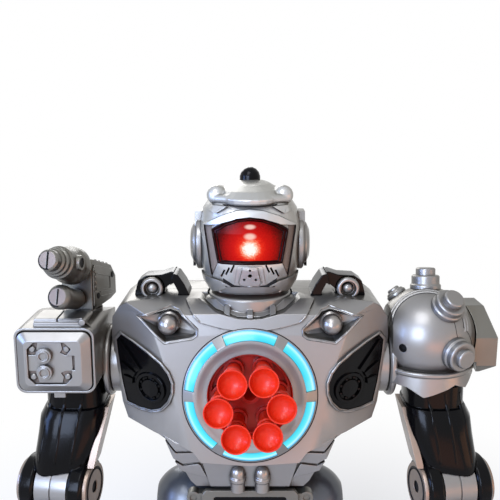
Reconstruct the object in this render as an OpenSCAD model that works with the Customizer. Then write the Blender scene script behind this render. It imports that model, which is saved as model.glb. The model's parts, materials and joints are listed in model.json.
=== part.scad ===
// Walking toy robot with a revolving dart launcher in its chest.
// Millimetres, +Z up, the robot faces -Y and its own left hand is on +X.
// The middle of the robot's box stands on the origin.

/* [Stance] */
// Height of the hip joints above the floor
hip_z = 118; // [112:1:124]
// Distance of each leg's middle from the robot's middle
leg_x = 42; // [38:1:46]
// Height of the shoulder joints above the floor
shoulder_z = 222; // [218:1:226]
// Distance of the left elbow's middle from the robot's middle
elbow_left_x = 131; // [127:1:132]
// Distance of the right elbow's middle from the robot's middle
elbow_right_x = 124; // [122:1:128]
// Height of the elbow joints above the floor
elbow_z = 144; // [140:1:148]
// Outward turn of the elbow axes, in degrees
elbow_toe = 10; // [0:1:14]
// Forward bend of the forearms at rest, in degrees
forearm_bend = 35; // [20:1:40]

/* [Torso] */
// Wall of the moulded casings
wall = 2.4; // [1.8:0.2:3]
// Height of the torso's top edge
torso_top = 270; // [266:1:274]
// Height of the waist
waist_z = 150; // [148:1:152]
// How far the raised trim stands out of the chest
trim = 1.6; // [0.8:0.2:2.4]

/* [Launcher] */
// Height of the chest ring's middle
ring_z = 215; // [213:1:217]
// Distance of the chest ring's front from the robot's middle plane
ring_y = 48; // [46:1:50]
// Backward lean of the launcher, in degrees
ring_tilt = 9; // [6:1:10]
// Outer radius of the chest ring
ring_r = 41; // [39:0.5:42]
// Outer radius of the revolving drum
drum_r = 25.2; // [24.8:0.1:25.4]
// Radius of the circle that the darts stand on
dart_circle = 17.8; // [17.4:0.1:18.2]
// Turn of the first dart from the horizontal, in degrees
dart_phase = 4; // [0:1:30]
// Radius of a dart's suction cup
cup_r = 8.6; // [8:0.1:8.6]
// Radius of a dart's shaft
dart_r = 4.6; // [4:0.1:5]

/* [Head] */
// Height of the helmet's lower edge
helmet_z = 272; // [271:1:274]
// Height of the helmet's crown
helmet_top = 338; // [336:1:340]

/* [Cannon] */
// Outward turn of the shoulder cannon, in degrees
cannon_yaw = 10; // [8:1:11]
// Upward pitch of the shoulder cannon, in degrees
cannon_pitch = 18; // [14:1:19]

/* [Feet] */
// Length of the sole
foot_l = 118; // [110:1:124]
// Width of the sole
foot_w = 64; // [56:1:66]
// Height of the ankle joints above the floor
ankle_z = 34; // [32:1:36]
// Radius of the rollers in the soles
roller_r = 8; // [7:0.5:9]

/* [Fits] */
// Radial clearance of a pin in its bore
pin_gap = 0.06; // [0.02:0.01:0.1]
// Gap between parts that move past each other
move_gap = 0.6; // [0.4:0.1:1]

/* [Hidden] */

$fn = 64;
far = 400;
eps = 0.01;
left = 1;
right = -1;

// How far the robot reaches to the front, the back, its left and its right from the neck's plane
front_reach = 82.46;
back_reach = 55;
left_reach = 159;
right_reach = 149.72;
stand_x = (right_reach - left_reach) / 2;
stand_y = (front_reach - back_reach) / 2;

// Distance of the heels behind the middle plane
heel_reach = 54;

// Colours
silver = "#c9c8c4";
dark_silver = "#7e7f82";
black = "#17171a";
orange = "#e8361c";
deep_red = "#8e1512";

// Half outlines of the torso, from the middle outwards: front view (x, z)
torso_half = [[0, 171], [30, 173], [35, 179.6], [54, 185], [57, 186.4], [78, 191], [81.6, 201], [88, 244],
    [87, 256], [82, 264], [76, torso_top - 2], [50, torso_top], [0, torso_top]];
// Side view (y, z)
torso_side = [[-50, 171], [-37.5, 250], [-34, 262], [-20, torso_top], [20, torso_top], [32, 268], [38, 264],
    [40, 258], [40, 180], [34, 171]];
// Top view (x, y), half
torso_plan = [[0, -60], [20, -56], [44, -44.5], [60, -36], [90, -15], [90, 16], [74, 32], [50, 40], [0, 40]];
// Lower body: half front view, side view and half top view
abdomen_half = [[0, waist_z], [34, waist_z], [37.6, 154.5], [41, 162.4], [45, 171.6], [51.6, 185.6],
    [34, 181.2], [29, 176], [0, 176]];
abdomen_side = [[-36, waist_z], [-40, 166], [-42, 176], [-43.5, 187], [33, 187], [32, 176], [30, 166],
    [24, waist_z]];
abdomen_plan = [[0, -60], [36, -48], [62, -32.8], [62, 60], [0, 60]];

// Raised panels of the chest: half outlines in the front view (x, z)
wing_outline = [[84.2, 242.4], [80.8, 246.4], [72.8, 243.2], [62.7, 238.2], [54.4, 232.8], [50.1, 227.8],
    [47.8, 221.8], [48, 216], [50.4, 209.9], [55, 204.6], [61, 202.2], [69.2, 201.7], [78, 203.1],
    [80.8, 215.5], [83.4, 233.3]];
wing_boss = [61.6, 216.6];
diamond = [[67.6, 260.4], [48.6, 265.4], [43.6, 263.6], [32.8, 253.6], [33, 250.8], [35.2, 249.2],
    [51.6, 246.6]];
yoke_outer = [[40, torso_top], [33.5, 261.5], [30, 258], [18, 255], [0, 252]];
yoke_inner = [[0, 260], [7, 260.4], [21, 264], [31, torso_top]];
belly_half = [[0, 151], [25, 151], [31.2, 176.4], [0, 176.4]];
// The three chevron slats beside it, from the top down
slats = [[[57.5, 187.6], [35.6, 180.6], [32.2, 176.6], [35.2, 178.3], [45.7, 177.9], [53, 185.2]],
    [[52.2, 183.4], [45.5, 176.6], [35.3, 177], [31.8, 175], [31, 169.4], [32.1, 170], [41.7, 168.7],
        [46.9, 172.2], [60, 180]],
    [[46.4, 170.4], [41.6, 167.2], [32, 168.6], [30.6, 167.4], [26.8, 158], [37.2, 161.2], [43, 163.4],
        [60, 170]]];

// Axles
shoulder_pin_r = 6;
shoulder_in = 80;
shoulder_out = 93;
boss_face = 88.8;
elbow_pin_r = 4;
elbow_half = 23.4;
barrel_half = 10.8;
barrel_r = 17.4;
ear_r = 19;
elbow_y = -22;
hip_pin_r = 5;
hip_in = 23;
hip_out = 24.4;
ankle_pin_r = 3;
neck_y = -4;
neck_pin_r = 9;
wrist_pin_r = 5;
wrist_s = 58;
pivot_r = 4;
cannon_x = 105.5;
well_r = 27.2;
plate_r = 26.4;
box_top = 257;
roller_front = -38;
roller_rear = 34;
roller_half = 7;
axle_r = 1.5;

// Launcher stations along its axis: 0 is the ring's front, minus is into the chest
ring_seat = -11;
drum_front = -9;
drum_back = -47;
housing_back = -52;
cup_rim = 31;

// ---------------------------------------------------------------- helpers

function mirrored(half) = concat(half, [for (i = [len(half) - 1:-1:0]) [-half[i][0], half[i][1]]]);

module stand() translate([stand_x, stand_y, 0]) children();

module both() {
    children();
    mirror([1, 0, 0]) children();
}

module on_side(side) mirror([side < 0 ? 1 : 0, 0, 0]) children();

// The two arms hang at slightly different distances; the arms are drawn about one datum
arm_datum = 127;

function elbow_x(side) = side > 0 ? elbow_left_x : elbow_right_x;

module arm_side(side) on_side(side) translate([elbow_x(side) - arm_datum, 0, 0]) children();

module front_slab(y_front, y_back) translate([0, y_back, 0]) rotate([90, 0, 0])
    linear_extrude(y_back - y_front) children();

module side_slab(x_low, x_high) translate([x_low, 0, 0]) rotate([90, 0, 90])
    linear_extrude(x_high - x_low) children();

module level_slab(z_low, z_high) translate([0, 0, z_low]) linear_extrude(z_high - z_low) children();

module along_x(r, x_low, x_high) translate([x_low, 0, 0]) rotate([0, 90, 0])
    cylinder(r = r, h = x_high - x_low);

module along_y(r, y_low, y_high) translate([0, y_high, 0]) rotate([90, 0, 0])
    cylinder(r = r, h = y_high - y_low);

module along_z(r, z_low, z_high) translate([0, 0, z_low]) cylinder(r = r, h = z_high - z_low);

module block(low, high) translate(low) cube(high - low);

module rounded_rect(width, height, r) hull() for (x = [-1, 1], y = [-1, 1])
    translate([x * (width / 2 - r), y * (height / 2 - r)]) circle(r = r, $fn = 24);

// A closed ring of points on a rounded square
function rounded_ring(half_x, half_y, count, power) = [for (i = [0:count - 1])
    let (a = 360 * i / count, c = cos(a), s = sin(a))
    [half_x * sign(c) * pow(abs(c), 2 / power), half_y * sign(s) * pow(abs(s), 2 / power)]];

// A skin through rings at rising heights; each level is [x, y, z, half_x, half_y]
module loft(levels, count = 24, power = 2.6) {
    last = len(levels) - 1;
    points = [for (l = levels) for (q = rounded_ring(l[3], l[4], count, power))
        [l[0] + q[0], l[1] + q[1], l[2]]];
    sides = [for (i = [0:last - 1], j = [0:count - 1]) let (k = (j + 1) % count)
        each [[i * count + j, (i + 1) * count + j, (i + 1) * count + k],
              [i * count + j, (i + 1) * count + k, i * count + k]]];
    bottom = [[for (j = [0:count - 1]) j]];
    top = [[for (j = [count - 1:-1:0]) last * count + j]];
    polyhedron(points = points, faces = concat(sides, bottom, top));
}

// A disc with both rims bevelled, along +Z
module bevelled_disc(r, h, bevel) rotate_extrude()
    polygon([[0, 0], [r - bevel, 0], [r, bevel], [r, h - bevel], [r - bevel, h], [0, h]]);

// ---------------------------------------------------------------- torso

// The chest's form, grown or shrunk evenly from its outlines
module torso_form(grow) intersection() {
    front_slab(-far, far) offset(delta = grow) polygon(mirrored(torso_half));
    side_slab(-far, far) offset(delta = grow) polygon(torso_side);
    level_slab(0, far) offset(delta = grow) polygon(mirrored(torso_plan));
}

module abdomen_form(grow) intersection() {
    front_slab(-far, far) offset(delta = grow) polygon(mirrored(abdomen_half));
    side_slab(-far, far) offset(delta = grow) polygon(abdomen_side);
    level_slab(0, far) offset(delta = grow) polygon(mirrored(abdomen_plan));
}

module launcher() translate([0, -ring_y, ring_z]) rotate([90 - ring_tilt, 0, 0]) children();

wing_rim = 1.8;

module wing_shape(grow = 0) offset(delta = grow) polygon(wing_outline);

// The bosses that carry the shoulder pins
module shoulder_bosses() both() translate([0, 0, shoulder_z]) difference() {
    along_x(21, 70, boss_face);
    along_x(shoulder_pin_r + 4, 69, 81);
}

// Linings inside the casing: the neck's well, the stud pockets and the ring's seat
module casing_linings() intersection() {
    torso_form(-0.8);
    union() {
        translate([0, neck_y, 0]) along_z(well_r + 2.2, 258, torso_top + 5);
        chest_pockets(wall);
        launcher() along_z(ring_r + 3, ring_seat - 3, 8);
    }
}

module casing() {
    difference() {
        union() {
            difference() {
                torso_form(0);
                torso_form(-wall);
            }
            difference() {
                abdomen_form(0);
                abdomen_form(-wall);
            }
            shoulder_bosses();
            casing_linings();
        }
        // The chest and the lower body share one hollow
        block([-36, -34, 168], [36, 25, 180]);
        both() translate([0, 0, shoulder_z]) along_x(shoulder_pin_r + pin_gap, 60, 100);
        chest_pockets(0);
        launcher() {
            along_z(ring_r + 0.1, ring_seat, 20);
            along_z(30, -40, 0);
        }
        translate([0, neck_y, 0]) {
            along_z(well_r, 262, 280);
            along_z(neck_pin_r + 4, 250, 280);
        }
    }
}

pocket_floor = -25.4;

// The pointed hollow around each chest stud; grow gives the wall behind it
module chest_pockets(grow) both() hull() {
    front_slab(-60, pocket_floor - 5.6 + grow) offset(delta = grow) polygon(diamond);
    translate([50, 0, 256]) front_slab(pocket_floor - 3, pocket_floor + grow)
        circle(r = 7.5 + grow, $fn = 24);
}

// Chevron slats on both sides of the belly
module belly_slats() both() intersection() {
    abdomen_form(1.8);
    front_slab(-60, -20) for (outline = slats) polygon(outline);
}

module chest_shell() color(silver) difference() {
    union() {
        intersection() {
            casing();
            block([-far, -far, 0], [far, 0, far]);
        }
        // Yoke round the neck
        intersection() {
            difference() {
                torso_form(trim);
                torso_form(-1);
            }
            front_slab(-60, -12) difference() {
                polygon(mirrored(yoke_outer));
                neckline(0);
            }
        }
        // Rims round the wing panels
        intersection() {
            difference() {
                torso_form(trim);
                torso_form(-1);
            }
            both() front_slab(-60, -12) difference() {
                wing_shape(wing_rim);
                wing_shape(0);
            }
        }
        // Belly panel and its slats
        difference() {
            union() {
                intersection() {
                    abdomen_form(2);
                    front_slab(-60, -30) polygon(mirrored(belly_half));
                }
                belly_slats();
            }
            abdomen_form(-1);
            torso_form(-1);
        }
    }
    launcher() along_z(ring_r + 0.1, ring_seat, 20);
    chest_pockets(0);
    // The neckline
    front_slab(-60, -8) neckline(0);
}

module neckline(grow) offset(delta = grow) polygon(mirrored(concat(yoke_inner, [[31, 300], [0, 300]])));

module wing_panels() color(black) difference() {
    union() {
        both() intersection() {
            torso_form(trim - 0.6);
            front_slab(-60, -12) wing_shape(-0.2);
        }
        // Pressed blades that spread from the round boss
        both() intersection() {
            torso_form(trim + 0.8);
            front_slab(-60, -12) union() {
                for (i = [0:2]) translate(wing_boss) rotate(50 - 22 * i)
                    translate([12, -2]) square([24, 4]);
                translate(wing_boss) circle(r = 9.6);
            }
            front_slab(-60, -12) wing_shape(-1.6);
        }
    }
    torso_form(0);
    both() translate([0, 0, shoulder_z]) along_x(21.2, 68, boss_face + 1);
    // Groove in the round boss
    difference() {
        both() front_slab(-60, -12) translate(wing_boss) difference() {
            circle(r = 7.6);
            circle(r = 5.4);
        }
        torso_form(1);
    }
}

hatch_z = 208;
hatch_w = 56;
hatch_h = 46;
cell_r = 7.2;
cell_y = 29.2;
speaker_z = 246;
switch_x = 38;
tab_screw_z = 227.6;

module battery_row() for (i = [-1:1]) translate([0, cell_y, hatch_z + 14.5 * i]) along_x(cell_r, -25, 25);

module back_shell() color(silver) {
    difference() {
        intersection() {
            casing();
            block([-far, 0, 0], [far, far, far]);
        }
        // Battery hatch
        front_slab(20, 60) translate([0, hatch_z]) rounded_rect(hatch_w, hatch_h, 4);
        // Speaker and switch openings
        translate([0, 0, speaker_z]) along_y(10.4, 20, 60);
        translate([switch_x, 0, speaker_z]) block([-3, 20, -6], [3, 60, 6]);
    }
    // Ledge that the hatch cover rests on, with a tab for its screw
    front_slab(35.5, 37.6) translate([0, hatch_z]) difference() {
        rounded_rect(60, 50, 5);
        rounded_rect(50, 40, 3);
    }
    front_slab(35.7, 37.6) translate([-4, 226.2]) square([8, 4]);
    // Tray with three cradles for the cells
    difference() {
        block([-27.2, 20.6, 184.2], [27.2, 35.6, 231.8]);
        block([-25.2, 25, 185.8], [25.2, 40, 230.2]);
        battery_row();
    }
    // Posts for the circuit board
    for (x = [-32, 32], z = [192, 224]) translate([x, 0, z]) along_y(3, 18.6, 38);
    // Ribs down the back
    both() intersection() {
        difference() {
            torso_form(1.6);
            torso_form(-1);
        }
        front_slab(20, 60) for (i = [0:2]) translate([52 + 7 * i, 186]) square([3.5, 50 - 6 * i]);
    }
}

module battery_cells() color("#c07a34") battery_row();

module battery_cover() color(silver) difference() {
    union() {
        front_slab(37.6, 41) translate([0, hatch_z]) rounded_rect(hatch_w - 0.6, hatch_h - 0.6, 4);
        for (i = [-2:2]) translate([0, 0, hatch_z - 2 + 6 * i]) front_slab(40.5, 42) rounded_rect(30, 2.4, 1);
    }
    translate([0, 0, tab_screw_z]) along_y(1.6, 30, 60);
}

module speaker_grille() color(dark_silver) translate([0, 0, speaker_z]) difference() {
    union() {
        along_y(10.3, 36, 40.4);
        along_y(11.2, 36, 37.6);
    }
    for (i = [-3:3]) let (reach = sqrt(81 - 5.76 * i * i) - 0.5)
        block([-reach, 33, 2.4 * i - 0.6], [reach, 60, 2.4 * i + 0.6]);
}

module power_switch() color(black) translate([switch_x, 0, speaker_z]) {
    block([-5, 35.6, -3], [5, 37.5, 5]);
    block([-2.7, 37.4, -1.6], [2.7, 41, 3.4]);
    for (i = [0:2]) block([-2.7, 40.9, -1.2 + 1.8 * i], [2.7, 41.6, -0.4 + 1.8 * i]);
}

module cross_slot(y, reach) for (a = [0, 90]) rotate([0, a, 0])
    block([-reach, y, -0.35], [reach, y + 3, 0.35]);

module case_screws() color(dark_silver) {
    for (x = [-44, 44], z = [190, 233]) translate([x, 0, z]) difference() {
        along_y(3, 40, 41.4);
        cross_slot(40.8, 2);
    }
    translate([0, 0, tab_screw_z]) difference() {
        along_y(1.6, 37.6, 41.2);
        cross_slot(40.6, 1.1);
    }
}

module circuit_board() color("#1d5b34") {
    difference() {
        front_slab(17, 18.6) translate([0, hatch_z]) square([74, 46], center = true);
        for (x = [-32, 32], z = [192, 224]) translate([x, 0, z]) along_y(1.2, 10, 30);
    }
    for (x = [-22, -6, 12]) block([x, 18.5, 196], [x + 11, 20.2, 204]);
    for (x = [-28, 28]) translate([x, 0, 220]) along_y(4, 9, 17.1);
}

// ---------------------------------------------------------------- launcher

ring_profile = [[27.6, ring_seat + 3], [ring_r, ring_seat + 3], [ring_r, -4.6], [34.4, -0.4], [33.2, -0.4],
    [29, -4.4], [27.6, -4.8]];
window_turn = 50;
window_in = 34;
window_out = 40.2;

// The six light windows, as sectors of a ring
module window_sectors(gap, profile) for (i = [0:5]) rotate(60 * i + 90 - window_turn / 2 + gap)
    rotate_extrude(angle = window_turn - 2 * gap) polygon(profile);

module chest_ring() color(silver) launcher() difference() {
    rotate_extrude() polygon(ring_profile);
    window_sectors(0, [[window_in, -20], [window_out, -20], [window_out, 5], [window_in, 5]]);
}

module light_ring() color("#7fe9ff") launcher() {
    rotate_extrude() translate([31, ring_seat]) square([ring_r - 31, 3]);
    window_sectors(0.4, [[window_in + 0.2, ring_seat + 2.9], [window_out - 0.2, ring_seat + 2.9],
        [window_out - 0.2, -4.4], [window_in + 0.2, -0.6]]);
}

module drum_housing() color(orange) launcher() difference() {
    union() {
        along_z(27.5, housing_back, -3);
        along_z(29.8, housing_back, ring_seat - 3);
        along_z(34.5, ring_seat - 5, ring_seat - 3);
        rotate_extrude() polygon([[25.7, -4], [27.5, -4], [27.5, -2.4], [26.6, -1.6], [25.7, -2.4]]);
    }
    along_z(25.7, housing_back + 3, 0);
    along_z(4 + pin_gap, housing_back - 1, housing_back + 4);
}

module drive_motor() color(dark_silver) launcher() {
    difference() {
        translate([0, 0, housing_back - 7]) linear_extrude(7) rounded_rect(40, 34, 4);
        along_z(4.6, housing_back - 4, housing_back + 1);
    }
    translate([-9, 0, 0]) along_z(8, housing_back - 12, housing_back - 6.9);
}

module dart_drum() color(deep_red) launcher() difference() {
    union() {
        along_z(drum_r, drum_back, drum_front);
        along_z(4, housing_back - 3, drum_back);
    }
    for (i = [0:5]) rotate(dart_phase + 60 * i) translate([dart_circle, 0, 0])
        along_z(dart_r + pin_gap, drum_back + 3, 0);
    along_z(4.2, drum_back + 8, 0);
    // Shallow hollow that leaves the six tube mouths standing
    difference() {
        along_z(drum_r - 1.6, drum_front - 5, 0);
        for (i = [0:5]) rotate(dart_phase + 60 * i) translate([dart_circle, 0, 0]) along_z(6.4, -20, 0);
        along_z(6.4, -20, 0);
    }
}

// One dart: shaft, stepped collar and a soft suction cup
dart_profile = [[0, drum_back + 3.2], [dart_r, drum_back + 3.2], [dart_r, 8], [6, 8.6], [6, 13], [5, 13.6],
    [5, 16], [3.4, 17], [3.4, 21], [5.2, 23.2], [7.8, 27], [cup_r, cup_rim], [cup_r - 0.8, cup_rim],
    [6.8, 27.8], [4, 25.4], [0, 24.6]];

module dart(i) color(orange) launcher() rotate(dart_phase + 60 * (i - 1)) translate([dart_circle, 0, 0])
    rotate_extrude() polygon(dart_profile);

// ---------------------------------------------------------------- chest trim

stud_profile = [[0, 0], [7, 0], [7, 2.6], [5.6, 3.6], [5.6, 6], [6.2, 7.4], [6.2, 9], [5.4, 11.4], [3.6, 13.2],
    [1.6, 14.2], [0, 14.4]];

module chest_studs() color("#dcdcdc") both() translate([50, pocket_floor, 256])
    rotate([90, 0, 0]) rotate_extrude() polygon(stud_profile);

nozzle_profile = [[0, 0], [7, 0], [7, 5], [6.4, 6], [6.4, 14], [7.2, 15], [7.2, 19], [6.2, 20], [5, 20],
    [4.6, 15.6], [3.6, 15.6], [3.2, 17.6], [1.8, 18.8], [0, 19.2]];

module jet_nozzles() color(silver) difference() {
    both() translate([62, 5, torso_top + 3.6]) rotate([90, 0, 0]) rotate_extrude() polygon(nozzle_profile);
    torso_form(0);
}

module jet_brackets() color(black) both() difference() {
    union() {
        front_slab(-11, 3) polygon([[37, 268], [41, 277], [45, 283], [50, 284], [56, 282], [66, 281.4],
            [71, 278], [73, 271], [73.6, 266]]);
        front_slab(-17, 3) polygon([[37, 268], [41, 277], [45, 283], [48, 284], [50, 278], [50, 268]]);
    }
    translate([62, 0, torso_top + 3.6]) along_y(7.3, -40, 30);
    front_slab(-40, 10) polygon([[54, 260], [54, 273], [48, 278], [45, 272], [47, 260]]);
    torso_form(0);
}

// Plate, post and bowl of the neck
module neck_collar() color(silver) difference() {
    union() {
        translate([0, neck_y, 0]) {
            rotate_extrude() polygon([[0, 262], [plate_r - 1, 262], [plate_r, 263], [plate_r, 269.4],
                [plate_r - 1, 270.4], [0, 270.4]]);
            along_z(neck_pin_r + 3.9, 256, 263);
            along_z(neck_pin_r, 256, 284);
        }
        intersection() {
            torso_form(-1.6);
            front_slab(-60, -8.3) neckline(-0.3);
        }
        // Ribs down the bowl
        for (x = [-14, 0, 14]) intersection() {
            torso_form(0.6);
            front_slab(-60, -22) translate([x, 0]) union() {
                translate([-1.8, 259]) square([3.6, 6.2]);
                translate([0, 265.2]) circle(r = 1.8);
            }
            front_slab(-60, -8.3) neckline(-0.3);
        }
    }
    translate([0, neck_y, 0]) along_z(5, 250, 290);
}

bullet_profile = [[0, 0], [4.6, 0], [4.6, 6], [5.3, 7], [5.3, 9], [4.4, 10], [4.4, 12.4], [3.6, 14.6],
    [2, 16], [0, 16.4]];

module belly_bullets() color("#dcdcdc") both() difference() {
    translate([7.6, -42.4, waist_z + 1]) rotate_extrude() polygon(bullet_profile);
    abdomen_form(2);
}

// ---------------------------------------------------------------- waist

pelvis_side = [[-30, 96], [-34, 112], [-36, 134], [-36, 149.8], [24, 149.8], [30, 140], [30, 108], [20, 96]];

module pelvis() color(black) difference() {
    union() {
        side_slab(-hip_in, hip_in) polygon(pelvis_side);
        both() translate([0, 0, hip_z]) {
            along_x(12, hip_in - eps, hip_out - 0.4);
            along_x(hip_pin_r, hip_in - 1, hip_in + 17);
        }
        // Shelf that the torso stands on
        block([-34, -30, 146.4], [34, 22, waist_z]);
    }
    // Waist groove round the body
    for (y = [-37.2, 29.2]) block([-60, y, 138], [60, y + 1.6, 139]);
}

module belt_plate() color(silver) difference() {
    union() {
        front_slab(-40, -36) polygon(mirrored([[0, 149], [28, 149], [30.5, 146], [30.5, 134], [24, 116],
            [20, 112], [0, 112]]));
        both() translate([36, 0, 142.4]) along_y(4.2, -37, -30);
        both() block([29, -37, 139.5], [37, -30, 145.3]);
        both() block([hip_in, -36.5, 139.5], [30, -30, 145.3]);
    }
    front_slab(-60, -37.6) polygon(mirrored([[0, 144.6], [22, 144.6], [23, 143.6], [23, 136], [18, 120],
        [17, 119], [0, 119]]));
    both() translate([36, 0, 142.4]) along_y(2.2, -40, -36);
}

// ---------------------------------------------------------------- head

helmet_levels = [[0, 0, helmet_z, 25, 23], [0, 0, helmet_z + 7, 28.8, 28.6], [0, -1, helmet_z + 18, 31.4, 33.2],
    [0, -1, helmet_z + 40, 32, 34.8], [0, -1, helmet_z + 52, 29.8, 33.4], [0, -1, helmet_z + 60, 24.5, 29],
    [0, -1, helmet_top - 2, 18.6, 22.6], [0, -1, helmet_top, 12, 15]];

module helmet_form(grow) loft([for (l = helmet_levels) [l[0], l[1], l[2] + (l[2] > 325 ? grow : 0),
    l[3] + grow, l[4] + grow]], 24, 2.5);

visor_outline = [[-19.6, 293.6], [19.6, 293.6], [23.2, 314], [16, 318.6], [8, 321.4], [0, 322.2], [-8, 321.4],
    [-16, 318.6], [-23.2, 314]];
face_outline = [[-23.6, 284], [23.6, 284], [28.4, 316], [17, 322.4], [8, 325.4], [0, 326.4], [-8, 325.4],
    [-17, 322.4], [-28.4, 316]];
guard_outline = [[-19.6, 293.3], [19.6, 293.3], [23.4, 283.6], [24, 272.6], [-24, 272.6], [-23.4, 283.6]];
jaw_half = [[32, 284], [23.8, 283], [17.5, 281.8], [11.6, 278.6], [22.5, 272.4], [33, 272.4]];
brow_half = [[22.8, 328.4], [13.4, 328.4], [20.8, 323.8], [25.6, 325.4]];
helmet_wall = 2.2;

module helmet_shell() difference() {
    helmet_form(0);
    intersection() {
        helmet_form(-helmet_wall);
        block([-far, -far, 0], [far, far, helmet_top - 3]);
    }
    translate([0, neck_y, 0]) along_z(neck_pin_r + pin_gap, 200, 290);
}

module helmet_front() color(silver) {
    difference() {
        union() {
            intersection() {
                helmet_shell();
                block([-far, -far, 0], [far, 0, far]);
            }
            // Arched band over the visor, facets over the brow and cheek guards
            intersection() {
                difference() {
                    helmet_form(1.5);
                    helmet_form(-1);
                }
                union() {
                    front_slab(-60, -14) difference() {
                        translate([0, 0.6]) polygon(face_outline);
                        translate([0, -4]) polygon(face_outline);
                        translate([-40, 272]) square([80, 40]);
                    }
                    both() front_slab(-60, -4) polygon(brow_half);
                    both() front_slab(-60, -4) polygon(jaw_half);
                }
            }
            // Collar that turns on the neck
            translate([0, neck_y, 0]) intersection() {
                along_z(neck_pin_r + 3, helmet_z, helmet_z + 12);
                block([-20, -20, 0], [20, 4, 400]);
            }
            both() block([11.5, -6, helmet_z], [24.5, -2, helmet_z + 8]);
        }
        translate([0, neck_y, 0]) along_z(neck_pin_r + pin_gap, helmet_z - 1, helmet_z + 13);
        // Opening for the visor and the guard
        front_slab(-60, -18) polygon(visor_outline);
        front_slab(-60, -18) difference() {
            offset(delta = 0.2) polygon(guard_outline);
            polygon(jaw_half);
            mirror([1, 0]) polygon(jaw_half);
        }
        // Sunk frame round the opening
        difference() {
            front_slab(-60, -10) polygon([for (p = face_outline) [p[0], min(p[1], 318)]]);
            helmet_form(-1.2);
        }
    }
}

module helmet_rear() color(silver) {
    intersection() {
        helmet_shell();
        block([-far, 0, 0], [far, far, far]);
    }
    // Raised spine down the back
    intersection() {
        difference() {
            helmet_form(1.5);
            helmet_form(-1);
        }
        front_slab(6, 60) polygon([[-6, 284], [6, 284], [9, 300], [7, 328.4], [-7, 328.4], [-9, 300]]);
    }
}

module visor() color("#c40d0d") intersection() {
    difference() {
        helmet_form(-0.9);
        helmet_form(-2.9);
    }
    front_slab(-60, -18) offset(delta = -0.15) polygon(visor_outline);
}

// Reflector panel behind the visor with one lamp in its middle
module eye_lamp() color("#ff5040") intersection() {
    helmet_form(-helmet_wall);
    union() {
        difference() {
            front_slab(-22.5, -19.5) polygon([[-24, 294], [24, 294], [26, 315], [0, 321], [-26, 315]]);
            translate([0, 0, 303]) along_y(3.1, -30, -10);
        }
        translate([0, -19.5, 303]) rotate([90, 0, 0]) rotate_extrude() polygon([[0, -4], [3.1, -4], [3.1, 3],
            [2.2, 4.8], [0, 5.6]]);
        for (x = [-27, 27]) block([x - 3.4, -22.5, 300], [x + 3.4, -18.5, 306]);
    }
}

module face_guard() color(silver) difference() {
    union() {
        intersection() {
            difference() {
                helmet_form(-0.4);
                helmet_form(-3);
            }
            front_slab(-60, -18.2) polygon(guard_outline);
        }
        // Raised mouthpiece in two steps
        intersection() {
            helmet_form(1.6);
            front_slab(-60, -30) polygon([[-4.2, 292], [4.2, 292], [6.4, 281.4], [5, 279.6], [-5, 279.6],
                [-6.4, 281.4]]);
        }
        intersection() {
            helmet_form(0.6);
            front_slab(-60, -29) polygon([[-7.4, 292.4], [7.4, 292.4], [9.4, 280], [7, 277.4], [-7, 277.4],
                [-9.4, 280]]);
        }
    }
    both() front_slab(-60, -14) offset(delta = 0.2) polygon(jaw_half);
    translate([0, 0, 286.6]) along_y(1.2, -60, -20);
    translate([0, 0, 290.2]) along_y(0.7, -60, -20);
    for (x = [-3.5, 3.5]) translate([x, 0, 283.8]) along_y(0.8, -60, -20);
    both() for (i = [0:2]) front_slab(-60, -20) translate([10.6 + 2.9 * i, 290.6 - 1.7 * i]) rotate(24)
        square([1.1, 5.4], center = true);
}

module helmet_crest() color(silver) difference() {
    union() {
        loft([[0, -7, 329.2, 19.6, 30], [0, -7, 332.6, 20.6, 31], [0, -5, 336.4, 17.8, 26],
            [0, -2, 339.6, 11.8, 18], [0, 0, 341.6, 5, 9]], 28, 2.2);
        both() hull() {
            translate([20.4, -17, 333.4]) sphere(r = 6.2, $fn = 16);
            translate([17.6, 12, 331.4]) sphere(r = 5, $fn = 16);
        }
        both() hull() {
            translate([13, -28, 332]) sphere(r = 2.6, $fn = 12);
            translate([22.6, -19, 331.6]) sphere(r = 3, $fn = 12);
        }
    }
    helmet_form(0);
    block([-60, -60, 300], [60, 60, 328.6]);
    along_z(6.6, 330, 345);
}

module receiver_dome() color(black) rotate_extrude() polygon([[0, helmet_top], [6.5, helmet_top], [6.5, 343.4],
    [5.6, 346], [3.8, 348], [1.6, 349], [0, 349.1]]);

module ear_pods() color(silver) difference() {
    both() translate([0, 0, 301]) difference() {
        union() {
            translate([29.6, 0, 0]) rotate([0, 90, 0]) bevelled_disc(17, 4.4, 1);
            translate([33.4, 0, 0]) rotate([0, 90, 0]) rotate_extrude()
                polygon([[0, 0], [14, 0], [13, 2.4], [9, 4.2], [5, 4.4], [5, 3.6], [0, 3.6]]);
            side_slab(30, 34.6) polygon([[-9, 8], [9, 8], [6, 21], [-6, 21]]);
        }
        block([34, -1, -16], [40, 1, -7]);
    }
    helmet_form(0);
}

// ---------------------------------------------------------------- shoulders

// Disc and pin that turn in the torso's boss
module shoulder_pin() translate([0, 0, shoulder_z]) {
    along_x(shoulder_pin_r, shoulder_in - 1, shoulder_out);
    along_x(shoulder_pin_r + 3, 76.4, shoulder_in - 1);
    translate([boss_face + 0.5, 0, 0]) rotate([0, 90, 0]) bevelled_disc(23.5, 4.4, 1.2);
}

box_low = [93, -44, 216];
box_high = [141, 24, box_top];

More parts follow.
